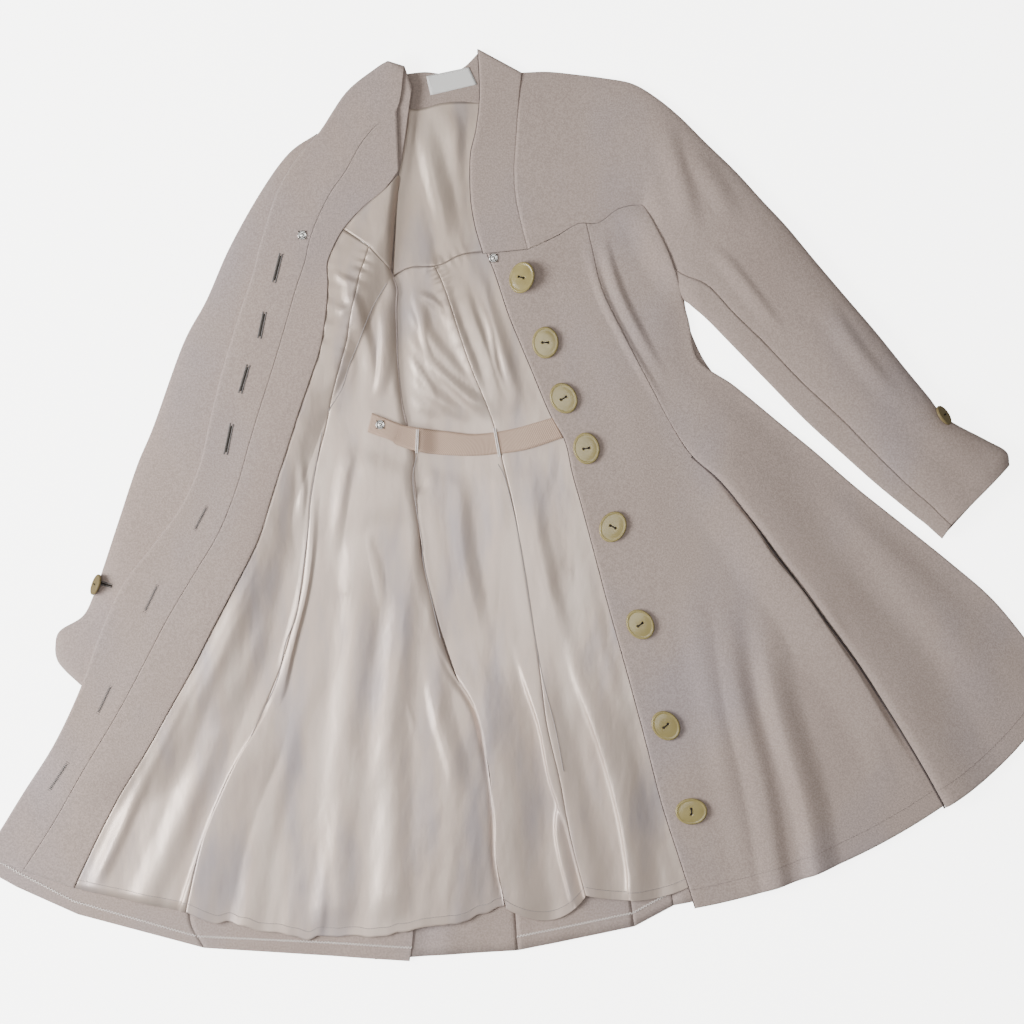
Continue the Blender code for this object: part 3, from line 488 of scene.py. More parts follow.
def trim(grid, sides="left right top bottom", amount=SEAM):
    """Draw a grid's edges back from their seam lines."""
    grid = grid.copy()
    for side in sides.split():
        seen = from_side(grid, side)
        run = seen[1] - seen[0]
        length = np.maximum(np.linalg.norm(run[..., :2], axis=-1, keepdims=True), 1e-6)
        seen[0] += run / length * np.minimum(amount, 0.4 * length)
    return grid


def bowed(grid, depth, rows):
    """Push the last rows of a grid outward in the middle, as a hem hangs in a curve."""
    grid = grid.copy()
    share = np.linspace(0, 1, grid.shape[1])
    swell = depth * 4 * share * (1 - share)
    across = grid[-1, -1] - grid[-1, 0]
    out = np.array([across[1], -across[0]]) / np.hypot(*across)
    for k in range(rows):
        grid[-1 - k] += swell[:, None] * out * (1 - k / rows)
    return grid


def uneven(grid, depth, rows, seed):
    """Wave the lower edge of a hem by up to depth, fading over its last rows."""
    grid = grid.copy()
    x = grid[-1, :, 0]
    wave = cloud(x / 26, 0 * x, seed) + 0.5 * cloud(x / 11, 0 * x, seed + 1)
    fade = np.linspace(0, 1, rows)[:, None] ** 1.5
    grid[-rows:, :, 1] += depth * wave * fade
    return grid


def meet(grid, seam, moved, rows):
    """Move the top row of a grid onto a seam, in x or in y, and the rows below it part of the way."""
    grid = grid.copy()
    p = np.array(sorted(map(tuple, seam), key=lambda place: place[1 - moved]), float)
    shift = np.interp(grid[0, :, 1 - moved], p[:, 1 - moved], p[:, moved]) - grid[0, :, moved]
    for k in range(rows):
        grid[k, :, moved] += shift * (1 - k / rows)
    return grid


def settled(grid, side, radius, floor):
    """Roll one edge of a raised grid down to a height near the floor given."""
    drop = np.maximum(from_side(grid, side)[0, :, 2] - floor, 0)
    return rounded(grid, side, radius, drop)


def raised(grid, surface):
    return np.dstack([grid, surface(grid[..., 0], grid[..., 1])])


def mesh_from(bm, name):
    mesh = bpy.data.meshes.new(name)
    bm.to_mesh(mesh)
    bm.free()
    mesh.shade_smooth()
    return mesh


def show(made, finish, node):
    """Give a piece its finish and let it stand for its CAD node."""
    made.data.materials.append(finishes[finish])
    bpy.context.scene.collection.objects.link(made)
    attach(made, "root")
    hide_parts(node)
    return made


def cloth(node, grid, finish="wool"):
    """A sheet of cloth through a grid of points on its outer face."""
    rows, columns = grid.shape[:2]
    bm = bmesh.new()
    bm.loops.layers.uv.new("cloth")
    bmesh.ops.create_grid(bm, x_segments=columns - 1, y_segments=rows - 1, size=1, calc_uvs=True)
    for vert in bm.verts:
        column = round((vert.co.x + 1) / 2 * (columns - 1))
        row = round((1 - vert.co.y) / 2 * (rows - 1))
        vert.co = Vector(grid[row, column]) * MM
    name = f"{node}_{finish}"
    made = show(bpy.data.objects.new(name, mesh_from(bm, name)), finish, node)
    thick = made.modifiers.new("wall", "SOLIDIFY")
    thick.thickness = WALLS[finish] * MM
    thick.offset = -1
    FACES[node] = grid
    return made


# Back
def make_back():
    panels = (("back_right", 36), ("back_center", 24), ("back_left", 24), ("back_left_side", 36))
    for k, (name, columns) in enumerate(panels):
        grid = spread(BACK_SEAMS[k:k + 2], (columns,), 9)
        if name == "back_left_side":
            grid = bowed(grid, 42, 15)
        grid = raised(trim(grid, amount=-BACK_OVERLAP), hem_strip)
        cloth(name, rounded(grid, "left right", 3, 0.8))
    columns = sum(YOKE_COLUMNS) + 1
    below = np.array([YOKE_CORNER] + [seam[0] for seam in BACK_SEAMS[1:]], float)
    stops = np.cumsum((0,) + YOKE_COLUMNS)
    bottom = np.column_stack([np.interp(np.arange(columns), stops, below[:, k]) for k in range(2)])
    yoke = spread((curve(YOKE_TOP, columns), bottom), (24,), 3)
    cloth("back_yoke", raised(trim(yoke.transpose(1, 0, 2)), flat_at(WOOL)))


def hem_strip(x, y):
    """Height of the back: flat under the lining, waved where its hem shows below it."""
    free = smoothstep((-y - 452) / 22) * smoothstep((150 - x) / 40)
    return WOOL + free * (1.6 + 1.6 * streaks(x, y, 5, 24, 90, 71))


# Right front, turned out
def make_right_front():
    down = lines_of(RIGHT_ROWS)
    shell = close_lines(spread(down[:4], (10, 14, 24), 6), "left bottom")
    shell = rounded(raised(trim(shell, "right top"), right_shell), "left bottom", 2, 0.3)
    cloth("right_front", shell)
    side = close_lines(spread(down[3:5], (40,), 6), "right bottom")
    side = rounded(raised(trim(side, "left top"), right_shell), "right bottom", 2, 0.3)
    cloth("right_side_front", side)
    top = lines_of(RIGHT_TOP_ROWS)
    yoke = raised(trim(spread(top, (10, 10), 10)), right_shell)
    cloth("right_yoke", yoke)
    faced = [line[:-1] for line in down]
    band = spread([top[k][:-1] + faced[k] for k in range(2)], (14,), 6)
    band = close_lines(trim(band, "right top"), "left bottom right")
    band = rounded(raised(band, right_facing), "left bottom", 3, 2)
    cloth("front_band_facing", rounded(band, "right", 1.5, 0.5))
    beside = spread([(top[k + 1][:-1] + faced[k + 1])[1:] for k in range(2)], (12,), 6)
    beside = raised(close_lines(trim(beside), "left right"), right_facing)
    beside = rounded(rounded(beside, "left", 1.5, 0.5), "right", 2.4, 0.9)
    cloth("front_inner_facing", beside)
    lining = close_lines(trim(spread(faced[2:4], (44,), 7)), "right left")
    lining = rounded(raised(lining, right_lining), "right left", 3, 0.9)
    cloth("lining_right_front", leaned(lining, LINING_FOLDS), "satin")
    wide = bowed(spread((faced[3], faced[4][:8] + list(SIDE_LINING)), (130,), 7), 31, 21)
    wide = uneven(wide, 3.2, 12, 91)
    wide = close_lines(trim(wide), "left right bottom")
    wide = rounded(raised(wide, right_lining), "left", 3, 0.9)
    wide = settled(wide, "right", 13, LINING_Z + 1.2)
    cloth("lining_right_side", leaned(rounded(wide, "bottom", 2, 0.8), LINING_FOLDS),
          "satin")
    yoke = close_lines(trim(spread(lines_of(RIGHT_YOKE_LINING), (8, 8), 12)), "right")
    yoke = raised(yoke, right_lining)
    cloth("lining_right_yoke", settled(yoke, "right", 9, LINING_Z + 1.2), "satin")


# Back lining
def make_back_lining():
    panels = (("lining_back_center", 62, 22, "right"), ("lining_back_left", 56, 14, "left"))
    for k, (name, columns, bow, side) in enumerate(panels):
        grid = bowed(spread(LINING_SEAMS[k:k + 2], (columns,), 13), bow, 19)
        grid = meet(grid, curve(YOKE_SEAM, 61), 1, 13)
        grid = close_lines(trim(grid), "left right bottom top")
        grid = rounded(raised(grid, back_lining), f"top {side}", 3, 0.7)
        cloth(name, leaned(grid, LINING_FOLDS), "satin")
    yoke = spread((
        ((-128, 441), (-110, 435), (-80, 442), (-44, 443), (0, 446), (50, 450)), YOKE_SEAM,
    ), (60,), 12)
    yoke = close_lines(trim(yoke.transpose(1, 0, 2)), "bottom")
    cloth("lining_back_yoke", rounded(raised(yoke, back_lining), "bottom", 3, 0.7), "satin")
    collar = spread((
        ((-123, 474), (-102, 476), (-79, 474), (-60, 481), (-41, 500)),
        ((-127, 437), (-109, 433), (-80, 440), (-60, 441), (-41, 441)),
    ), (16,), 8)
    collar = close_lines(collar.transpose(1, 0, 2), "top bottom")
    collar = rounded(raised(trim(collar), flat_at(LINING_Z + 0.4)), "top bottom", 3, 1.4)
    cloth("collar_back", collar)


# Left front, closed over the back
def make_left_front():
    down = lines_of(LEFT_ROWS)
    lap = PLEAT_LAP * smoothstep((np.arange(len(LEFT_ROWS)) - 6.5) / 2)
    under = [(x + more, y + more) for (x, y), more in zip(down[1], lap)]
    sewn = curve(line_of(LEFT_SLEEVE_ROWS, 1), 153)[:41]
    seam = [(x, y - GAP) for x, y in [BAND_ROWS[-1][0], *sewn]]
    centre = meet(bowed(spread((down[0], under), (110,), 12), 17, 22), seam, 1, 24)
    centre = close_lines(centre, "left bottom top")
    centre = rounded(raised(trim(centre, "right top"), left_front), "left bottom", 3, 1.8)
    centre = leaned(rounded(centre, "top", 1.5, 0.5), [PLEAT_ROLL])
    cloth("left_front", centre)
    side = meet(bowed(spread(down[1:], (56,), 12), 12, 22), seam, 1, 24)
    side = close_lines(side, "left right bottom", (0.3, 0.8, 1.6, 2.6, 3.8, 5.2))
    side = close_lines(side, "top")
    side = rounded(raised(trim(side, "top left"), left_side_front), "left", 2.4, 0.6)
    side = settled(side, "left", 9, LEFT_Z + WOOL)
    side = rounded(rounded(side, "right bottom", 3, 1.5), "top", 1.5, 0.5)
    cloth("left_side_front", side)
    band = spread(lines_of(BAND_ROWS), (16,), 12)
    band = close_lines(trim(band, "right bottom"), "left right top")
    band = rounded(raised(band, flat_at(LEFT_Z + 0.4)), "left top", 4, 2.2)
    cloth("collar_band_left", rounded(band, "right", 1.5, 0.5))


def hump(share):
    return np.sqrt(np.clip(1 - (1 - np.clip(share, 0, 1)) ** 2, 0, 1))


def sleeve_wall(outline, seam, height, edge, last, count):
    """The upper wall of a sleeve, rounded down to its outline and its seam."""
    share = 0.5 - 0.5 * np.cos(np.linspace(0, np.pi, count + 1))
    grid = []
    for s in share:
        place = outline + (seam - outline) * s
        near, far = hump(s / WALL_TURN), hump((1 - s) / WALL_TURN)
        z = np.minimum(edge + (height - edge) * near, last + (height - last) * far)
        grid.append(np.column_stack([place, z]))
    return np.stack(grid, axis=1)


def under_wall(outline, seam, lower, height, edge, last):
    """The under side of a sleeve: from its seam over the lower edge, along the floor, up at the outline."""
    low = edge - SLEEVE_SPLIT
    section = (
        (seam, last), (lower * 0.62 + seam * 0.38, last * 0.86), (lower, height * 0.46),
        (lower * 0.97 + outline * 0.03, height * 0.16), (lower * 0.9 + outline * 0.1, height * 0),
        (lower * 0.5 + outline * 0.5, height * 0), (lower * 0.1 + outline * 0.9, height * 0),
        (lower * 0.03 + outline * 0.97, low * 0.2), (lower * 0.004 + outline * 0.996, low * 0.65),
        (outline, low),
    )
    return np.stack([np.column_stack([place, z]) for place, z in section], axis=1)


def finer(grid, columns):
    """Smooth a coarse section into more columns."""
    return np.maximum(curve(grid.transpose(1, 0, 2), columns).transpose(1, 0, 2), (-1e9, -1e9, 0))


# Left sleeve, filled out, with its yoke
def make_left_sleeve():
    table = np.array([(*a, *b, h, e) for a, b, h, e in LEFT_SLEEVE_ROWS])
    count = (len(table) - 1) * ROWS_A_STEP + 1
    rows = curve(table, count)
    level = np.linspace(0, len(table) - 1, count)
    height, edge = rows[:, 4], rows[:, 5]
    last = np.interp(level, (4, 5, 6, 7, 8, 9, 12, 19), (LEFT_Z, 7.4, 10.5, 13.5, 15, 16, 16.5, 17.3))
    tuck = smoothstep((level - 4.2) / 1.5) * smoothstep((9.6 - level) / 1.2)
    seam = rows[:, 2:4] - np.outer(5 * tuck, (1, 0.3))
    top = sleeve_wall(rows[:, :2], seam, height, edge, last - 4 * tuck, 60)
    top[..., 2] += crease(top[..., 0], top[..., 1], level[:, None])
    top = meet(top, curve(line_of(BAND_ROWS, 1), 60) - (0.8, 0), 0, 16)
    cloth("left_yoke_sleeve", trim(top, "left right top")[:, ::-1])
    before = 4
    first = FIRST_UNDER * ROWS_A_STEP - before
    behind = smoothstep(1 - (level[first:] - level[first]) / 1.2)
    offsets = np.vstack([[LEFT_UNDER[0]] * before, curve(LEFT_UNDER, len(rows) - first - before)])
    outline, seam = rows[first:, :2], seam[first:]
    height, ends = rows[first:, 4] * (1 - 0.5 * behind), (last - 4 * tuck)[first:]
    under = under_wall(outline, seam, seam + offsets, height, edge[first:], ends)
    cloth("left_under_sleeve", trim(finer(under, 64), "left right top")[:, ::-1])


def crease(x, y, level):
    """Soft troughs across the sleeve's upper side."""
    on_arm = smoothstep((level - 2) / 3)
    rise = folds(x, y, SLEEVE_FOLDS) + 0.6 * streaks(x, y, 40, 24, 150, 81)
    return (rise - 1.2) * on_arm * smoothstep((level - 4) / 2.5) + 0.4 * rise * on_arm


# Right sleeve, pressed flat under the turned-out front
def make_right_sleeve():
    table = np.array([(*a, *b) for a, b in RIGHT_SLEEVE_ROWS], float)
    count = (len(table) - 1) * ROWS_A_STEP + 1
    rows = curve(table, count)
    height = 8 + (SLEEVE_RIGHT - 8) * smoothstep(np.linspace(0.4, 3, count))
    edge = height / 2
    outline, inner = rows[:, :2], rows[:, 2:4]
    cloth("right_upper_sleeve", trim(sleeve_wall(outline, inner, height, edge, edge, 36), "top"))
    low = edge - SLEEVE_SPLIT
    half = ((0, 1), (0.004, 0.65), (0.03, 0.2), (0.1, 0))
    section = [(outline + (inner - outline) * share, low * rise) for share, rise in half]
    section += [(inner + (outline - inner) * share, low * rise) for share, rise in reversed(half)]
    under = np.stack([np.column_stack([place, z]) for place, z in section], axis=1)
    cloth("right_under_sleeve", trim(finer(under, 40), "top")[:, ::-1])


# Waist ribbon and label
def ribbon_height(x, y):
    roll = smoothstep((-86 - x) / 24)
    flat = LINING_Z + GAP + RIBBON + 0.4
    loose = right_lining(np.minimum(x, -121), y) + GAP + RIBBON + 0.8
    return (1 - roll) * flat + roll * loose + 0.5 + 0.5 * np.sin(x / 13)


def make_trim():
    band = spread(lines_of(RIBBON_LINE), (8,), 22).transpose(1, 0, 2)
    cloth("waist_ribbon", raised(band, ribbon_height), "ribbon")
    patch = spread(lines_of(LABEL_LINE), (10,), 18).transpose(1, 0, 2)
    cloth("neck_label", raised(patch, flat_at(LINING_Z + GAP + 0.9)), "label")


FRONT_BUTTONS = (
    ((5, 249), 72), ((30, 178), 90), ((50, 117), 120), ((75, 62), 100),
    ((104, -24), 63), ((134, -131), 127), ((162, -242), 132), ((190, -336), 0),
)
# From the middle out, as shares of half the length and of the thickness
BUTTON_PROFILE = (
    (0, 0), (0.6, 0), (0.84, 0.05), (0.96, 0.25), (1, 0.48), (0.985, 0.68), (0.94, 0.84), (0.895, 0.88),
    (0.85, 0.85), (0.79, 0.83), (0.62, 0.87), (0.4, 0.9), (0, 0.9),
)
SNAP_PROFILE = (
    (0, 1.5), (1.1, 1.4), (1.5, 0.9), (2.2, 0.6), (3.2, 0.7), (4.2, 1.0), (4.8, 0.8), (5, 0.3), (5, 0),
)


def spun(name, profile, steps):
    """A mesh turned about Z from (radius, height) points in millimetres."""
    bm = bmesh.new()
    points = [bm.verts.new((r * MM, 0, z * MM)) for r, z in profile]
    for a, b in zip(points[:-1], points[1:]):
        bm.edges.new((a, b))
    bmesh.ops.spin(bm, geom=bm.verts[:] + bm.edges[:], cent=(0, 0, 0), axis=(0, 0, 1),
                   angle=2 * math.pi, steps=steps, use_merge=True)
    bmesh.ops.remove_doubles(bm, verts=bm.verts[:], dist=0.000001)
    bmesh.ops.recalc_face_normals(bm, faces=bm.faces[:])
    return mesh_from(bm, name)


def top_of(surface, x, y):
    return float(surface(np.array([float(x)]), np.array([float(y)]))[0])


def add_button(node, place, size, turn, tilt, lean, finish="button"):
    """An oval two-hole button with a raised rim, and the thread through its holes."""
    long, short, thick = size
    profile = np.clip(curve(BUTTON_PROFILE, 44), 0, 1) * (long / 2, thick)
    mesh = spun(f"{node}_shape", profile, 40)
    stand = Matrix.Translation(Vector(place) * MM) @ Matrix.Rotation(math.radians(lean), 4, "Z")
    stand = stand @ Matrix.Rotation(math.radians(tilt), 4, "Y")
    stand = stand @ Matrix.Rotation(math.radians(turn - lean), 4, "Z")
    mesh.transform(stand @ Matrix.Scale(short / long, 4, (0, 1, 0)))
    bm = bmesh.new()
    for side in (-1, 1):
        hole = Matrix.Translation((0, side * HOLE_PLACE * long * MM, thick / 2 * MM))
        bmesh.ops.create_cone(bm, cap_ends=True, segments=14, radius1=HOLE_RADIUS * long * MM,
                              radius2=HOLE_RADIUS * long * MM, depth=3 * thick * MM, matrix=stand @ hole)
    holes = bpy.data.meshes.new(f"{node}_holes")
    bm.to_mesh(holes)
    bm.free()
    made = bpy.data.objects.new(f"{node}_shape", mesh)
    cutter = bpy.data.objects.new(f"{node}_holes", holes)
    for each in (made, cutter):
        bpy.context.scene.collection.objects.link(each)
    cut = made.modifiers.new("holes", "BOOLEAN")
    cut.object = cutter
    whole = bpy.data.meshes.new_from_object(made.evaluated_get(bpy.context.evaluated_depsgraph_get()))
    for each in (made, cutter):
        bpy.data.objects.remove(each)
    whole.shade_smooth()
    show(bpy.data.objects.new(f"{node}_oval", whole), finish, node)
    high = BUTTON_LEVEL * thick
    across = HOLE_PLACE * long
    bar = [(0, -across, high - 1.6), (0, -across * 0.8, high + 0.5), (0, across * 0.8, high + 0.5),
           (0, across, high - 1.6)]
    for shift in (-0.35, 0.35):
        BARS.append([stand @ (Vector((x + shift, y, z)) * MM) / MM for x, y, z in bar])


def make_buttons():
    for k, ((x, y), turn) in enumerate(FRONT_BUTTONS, 1):
        high = top_of(left_front, x, y) + GAP + 0.2
        lift, tilt = (2.5, -20) if k == 1 else (0, 0)
        add_button(f"button_{k}", (x, y, high + lift), FRONT_SIZE, turn, tilt, -8)
    # The cuff buttons take the darker cuff_button finish, painted shade for buttons turned on edge at the
    # sleeves.
    add_button("cuff_button_left", (464, 97, 18), CUFF_SIZE, 122, 54, 36, "cuff_button")
    add_button("cuff_button_right", (-460.8, -88, 10.5), CUFF_SIZE, 68, 62, 160, "cuff_button")
    heights = {
        "snap_left_front": (-27, 271, LEFT_Z + GAP),
        "snap_right_facing": (-236, 295, top_of(right_facing, -236, 295) + GAP),
        "snap_ribbon": (-151, 88, top_of(ribbon_height, -151, 88) + GAP),
    }
    for name, place in heights.items():
        mesh = spun(f"{name}_disc", curve(SNAP_PROFILE, 28), 32)
        mesh.transform(Matrix.Translation(Vector(place) * MM))
        show(bpy.data.objects.new(f"{name}_disc", mesh), "snap", name)
        for quarter in range(4):
            turn = math.radians(45 + 90 * quarter)
            out = np.array([math.cos(turn), math.sin(turn), 0])
            stitch = ((2.6, 1.1), (4.2, 1.4), (6.4, 0.3))
            BARS.append([np.array(place) + out * r + (0, 0, z) for r, z in stitch])


def threads(name, runs, radius, finish):
    """Thin round threads along some lines of points."""
    made = bpy.data.curves.new(name, "CURVE")
    made.dimensions = "3D"
    made.bevel_depth = radius * MM
    made.bevel_resolution = 1
    for run in runs:
        line = made.splines.new("POLY")
        line.points.add(len(run) - 1)
        for point, place in zip(line.points, run):
            point.co = (place[0] * MM, place[1] * MM, place[2] * MM, 1)
    made.materials.append(finishes[finish])
    shown = bpy.data.objects.new(name, made)
    bpy.context.scene.collection.objects.link(shown)
    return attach(shown, "root")


def inset(node, side, distance, start=0.0, end=1.0):
    """The line on a sheet's face that keeps a distance from one of its sides."""
    seen = from_side(FACES[node], side)
    steps = np.linalg.norm(np.diff(seen, axis=0, prepend=seen[:1]), axis=-1)
    reach = np.cumsum(steps, axis=0)
    count = seen.shape[1]
    line = [[np.interp(distance, reach[:, j], seen[:, j, c]) for c in range(3)] for j in range(count)]
    first, last = int(start * len(line)), int(end * len(line))
    return np.array(line)[first:last]


def on_surface(path, surface, lift, count=60):
    line = curve(path, count)
    return np.column_stack([line, surface(line[:, 0], line[:, 1]) + lift])


def stitched(line, step, length, lift=0.2, zigzag=0.0):
    """Cut a line into stitches, side to side if it is a zigzag."""
    line = np.array(line, float)
    reach = np.concatenate([[0], np.cumsum(np.linalg.norm(np.diff(line, axis=0), axis=1))])

    def at(s):
        return np.array([np.interp(s, reach, line[:, c]) for c in range(3)])

    runs = []
    for k, s in enumerate(np.arange(0, reach[-1] - length, step)):
        a, b = at(s), at(s + length)
        side = np.array([a[1] - b[1], b[0] - a[0], 0]) / max(np.hypot(*(b - a)[:2]), 1e-6)
        swing = zigzag * (1 if k % 2 else -1)
        a, b = a + side * swing + (0, 0, lift), b - side * swing + (0, 0, lift)
        runs.append([a, (a + b) / 2 + (0, 0, 0.15), b])
    return runs


BUTTONHOLES = (
    ((-259, 275), (-267, 243)), ((-277, 211), (-283, 182)), ((-295, 153), (-304, 122)),
    ((-313, 89), (-320, 55)), ((-340, -1), (-354, -28)), ((-394, -87), (-409, -118)),
    ((-445, -197), (-460, -229)), ((-492, -281), (-515, -314)),
)


def make_buttonholes():
    slits, closed, bound, sewn = [], [], [], []
    for k, (a, b) in enumerate(BUTTONHOLES):
        open_slit = k < OPEN_BUTTONHOLES
        line = on_surface((a, b), right_facing, 0.1, 26)
        run = line[-1] - line[0]
        side = np.array([-run[1], run[0], 0]) / np.hypot(*run[:2])
        # Open slits are drawn as near-black threads, painted shade inside the openings.
        (slits if open_slit else closed).append(line[2:-2] + (0, 0, 0.1))
        half = 1.7 if open_slit else 0.9
        for s in np.arange(0.02, 0.99, 0.04 if open_slit else 0.05):
            place = np.array([np.interp(s, np.linspace(0, 1, 26), line[:, c]) for c in range(3)])
            for turn in (-1, 1):
                near, far = place + side * turn * 0.7, place + side * turn * (half + 0.8)
                sewn.append([near + (0, 0, 0.45), far + (0, 0, 0.1)])
        if open_slit:
            for turn in (-1, 1):
                bound.append(line + side * turn * half + (0, 0, 0.2))
    cuff = np.array([(-459 + 14 * s, -85 - 4 * s, 0) for s in np.linspace(0, 1, 12)])
    face = FACES["right_upper_sleeve"].reshape(-1, 3)
    for point in cuff:
        point[2] = face[np.argmin(np.hypot(*(face[:, :2] - point[:2]).T)), 2] + 0.4
    slits.append(cuff)
    bound += [cuff + (0.4 * turn, 1.7 * turn, 0.1) for turn in (-1, 1)]
    # The slits' near-black finish is painted shade in the open buttonholes.
    threads("buttonhole_slits", slits, 0.75, "dark")
    threads("closed_buttonholes", closed, 0.5, "grey_thread")
    threads("buttonhole_edges", bound, 0.6, "grey_thread")
    threads("buttonhole_stitches", sewn, 0.28, "grey_thread")


def make_stitching():
    hems = []
    for node in ("left_front", "left_side_front"):
        hems += stitched(inset(node, "bottom", WOOL_HEM, 0.01, 0.99), 3.4, 2.3)
    threads("left_hem_stitches", hems, 0.22, "wool_thread")
    inside = []
    for node, first, last in (("right_front", 0.02, 1), ("right_side_front", 0, 1), ("back_center", 0, 1),
                              ("back_left", 0, 1)):
        inside += stitched(inset(node, "bottom", INSIDE_HEM, first, last), 1.7, 1.7, 0.25, 1.1)
    threads("wool_hem_stitches", inside, 0.5, "pale_thread")
    lining = []
    for node in ("lining_right_front", "lining_right_side", "lining_back_center", "lining_back_left"):
        lining += stitched(inset(node, "bottom", LINING_HEM), 3.0, 2.2)
    threads("lining_hem_stitches", lining, 0.32, "satin_thread")
    gores = [
        on_surface(((-144, 243), (-160, 215), (-175, 177), (-185, 153), (-193, 128), (-208, 103)),
                   right_lining, 0.05),
        on_surface(((-111, 54), (-115, 23), (-105, -42), (-104, -61), (-92, -116), (-85, -146)),
                   right_lining, 0.05),
        on_surface(((-215, 80), (-227, 11), (-230, -22), (-238, -85), (-244, -123), (-255, -151),
                    (-264, -191), (-280, -226), (-293, -254)), right_lining, 0.05),
        on_surface(((-22, 45), (-14, 28), (-3, -16), (8, -77), (19, -148), (28, -194), (41, -245),
                    (50, -292)), back_lining, 0.05),
    ]
    threads("lining_seams", gores, 0.45, "satin_thread")
    # Painted shadow: a near-black wool thread laid into the crevice along the pleat stands for the shade
    # there.
    pleat = curve(line_of(LEFT_ROWS, 1)[6:], 90)
    pleat_shadow_line = [(x - 0.8, y - 0.8, top_of(left_front, x, y) + 0.6) for x, y in pleat]
    threads("left_pleat_shadow", [pleat_shadow_line], 1.1, "painted_shadow_wool")
    # Painted shadow: a near-black wool thread along the foot of the collar band's and left front's free edge
    # stands for the shadow that edge casts.
    edges = [inset(node, "left", 0.2) + (-0.5, -0.2, -0.7) for node in ("collar_band_left", "left_front")]
    threads("left_edge_shadow", edges, 0.5, "painted_shadow_wool")


def make_loops():
    """The two thread loops that hold the waist ribbon."""
    runs = []
    for (x1, y1), (x2, y2) in (((-110, 85), (-111, 57)), ((-26, 85), (-20, 52))):
        for shift in (-0.9, 0.9):
            line = []
            for s in np.linspace(0, 1, 12):
                x, y = x1 + (x2 - x1) * s + shift, y1 + (y2 - y1) * s
                line.append((x, y, top_of(ribbon_height, x, y) + 0.8 - 3.5 * abs(2 * s - 1) ** 6))
            runs.append(line)
    threads("ribbon_loops", runs, 0.7, "pale_thread")


def new_finish(name, colour, rough, settings=()):
    made = bpy.data.materials.new(name)
    made.use_nodes = True
    finishes[name] = made
    shader = made.node_tree.nodes["Principled BSDF"]
    shader.inputs["Base Color"].default_value = (*colour, 1)
    shader.inputs["Roughness"].default_value = rough
    for setting, value in settings:
        shader.inputs[setting].default_value = value
    return made.node_tree, shader


def noise(tree, scale, detail=2.0, stretch=(1, 1, 1), turn=0.0):
    """Procedural noise in the piece's own coordinates, stretched and turned about Z."""
    place = tree.nodes.new("ShaderNodeTexCoord")
    mapping = tree.nodes.new("ShaderNodeMapping")
    mapping.inputs["Scale"].default_value = stretch
    mapping.inputs["Rotation"].default_value = (0, 0, math.radians(turn))
    made = tree.nodes.new("ShaderNodeTexNoise")
    made.inputs["Scale"].default_value = scale
    made.inputs["Detail"].default_value = detail
    tree.links.new(place.outputs["Object"], mapping.inputs["Vector"])
    tree.links.new(mapping.outputs["Vector"], made.inputs["Vector"])
    return made.outputs["Fac"]


def blend_colours(tree, factor, stops):
    ramp = tree.nodes.new("ShaderNodeValToRGB")
    while len(ramp.color_ramp.elements) < len(stops):
        ramp.color_ramp.elements.new(0.5)
    for element, (place, colour) in zip(ramp.color_ramp.elements, stops):
        element.position = place
        element.color = (*colour, 1)
    tree.links.new(factor, ramp.inputs["Fac"])
    return ramp.outputs["Color"]


def multiply(tree, one, two, amount):
    mix = tree.nodes.new("ShaderNodeMix")
    mix.data_type = "RGBA"
    mix.blend_type = "MULTIPLY"
    mix.inputs["Factor"].default_value = amount
    tree.links.new(one, mix.inputs["A"])
    tree.links.new(two, mix.inputs["B"])
    return mix.outputs["Result"]


def bump(tree, shader, height, strength, distance, under=None):
    made = tree.nodes.new("ShaderNodeBump")
    made.inputs["Strength"].default_value = strength
    made.inputs["Distance"].default_value = distance * MM
    tree.links.new(height, made.inputs["Height"])
    if under:
        tree.links.new(under, made.inputs["Normal"])
    tree.links.new(made.outputs["Normal"], shader.inputs["Normal"])
    return made.outputs["Normal"]


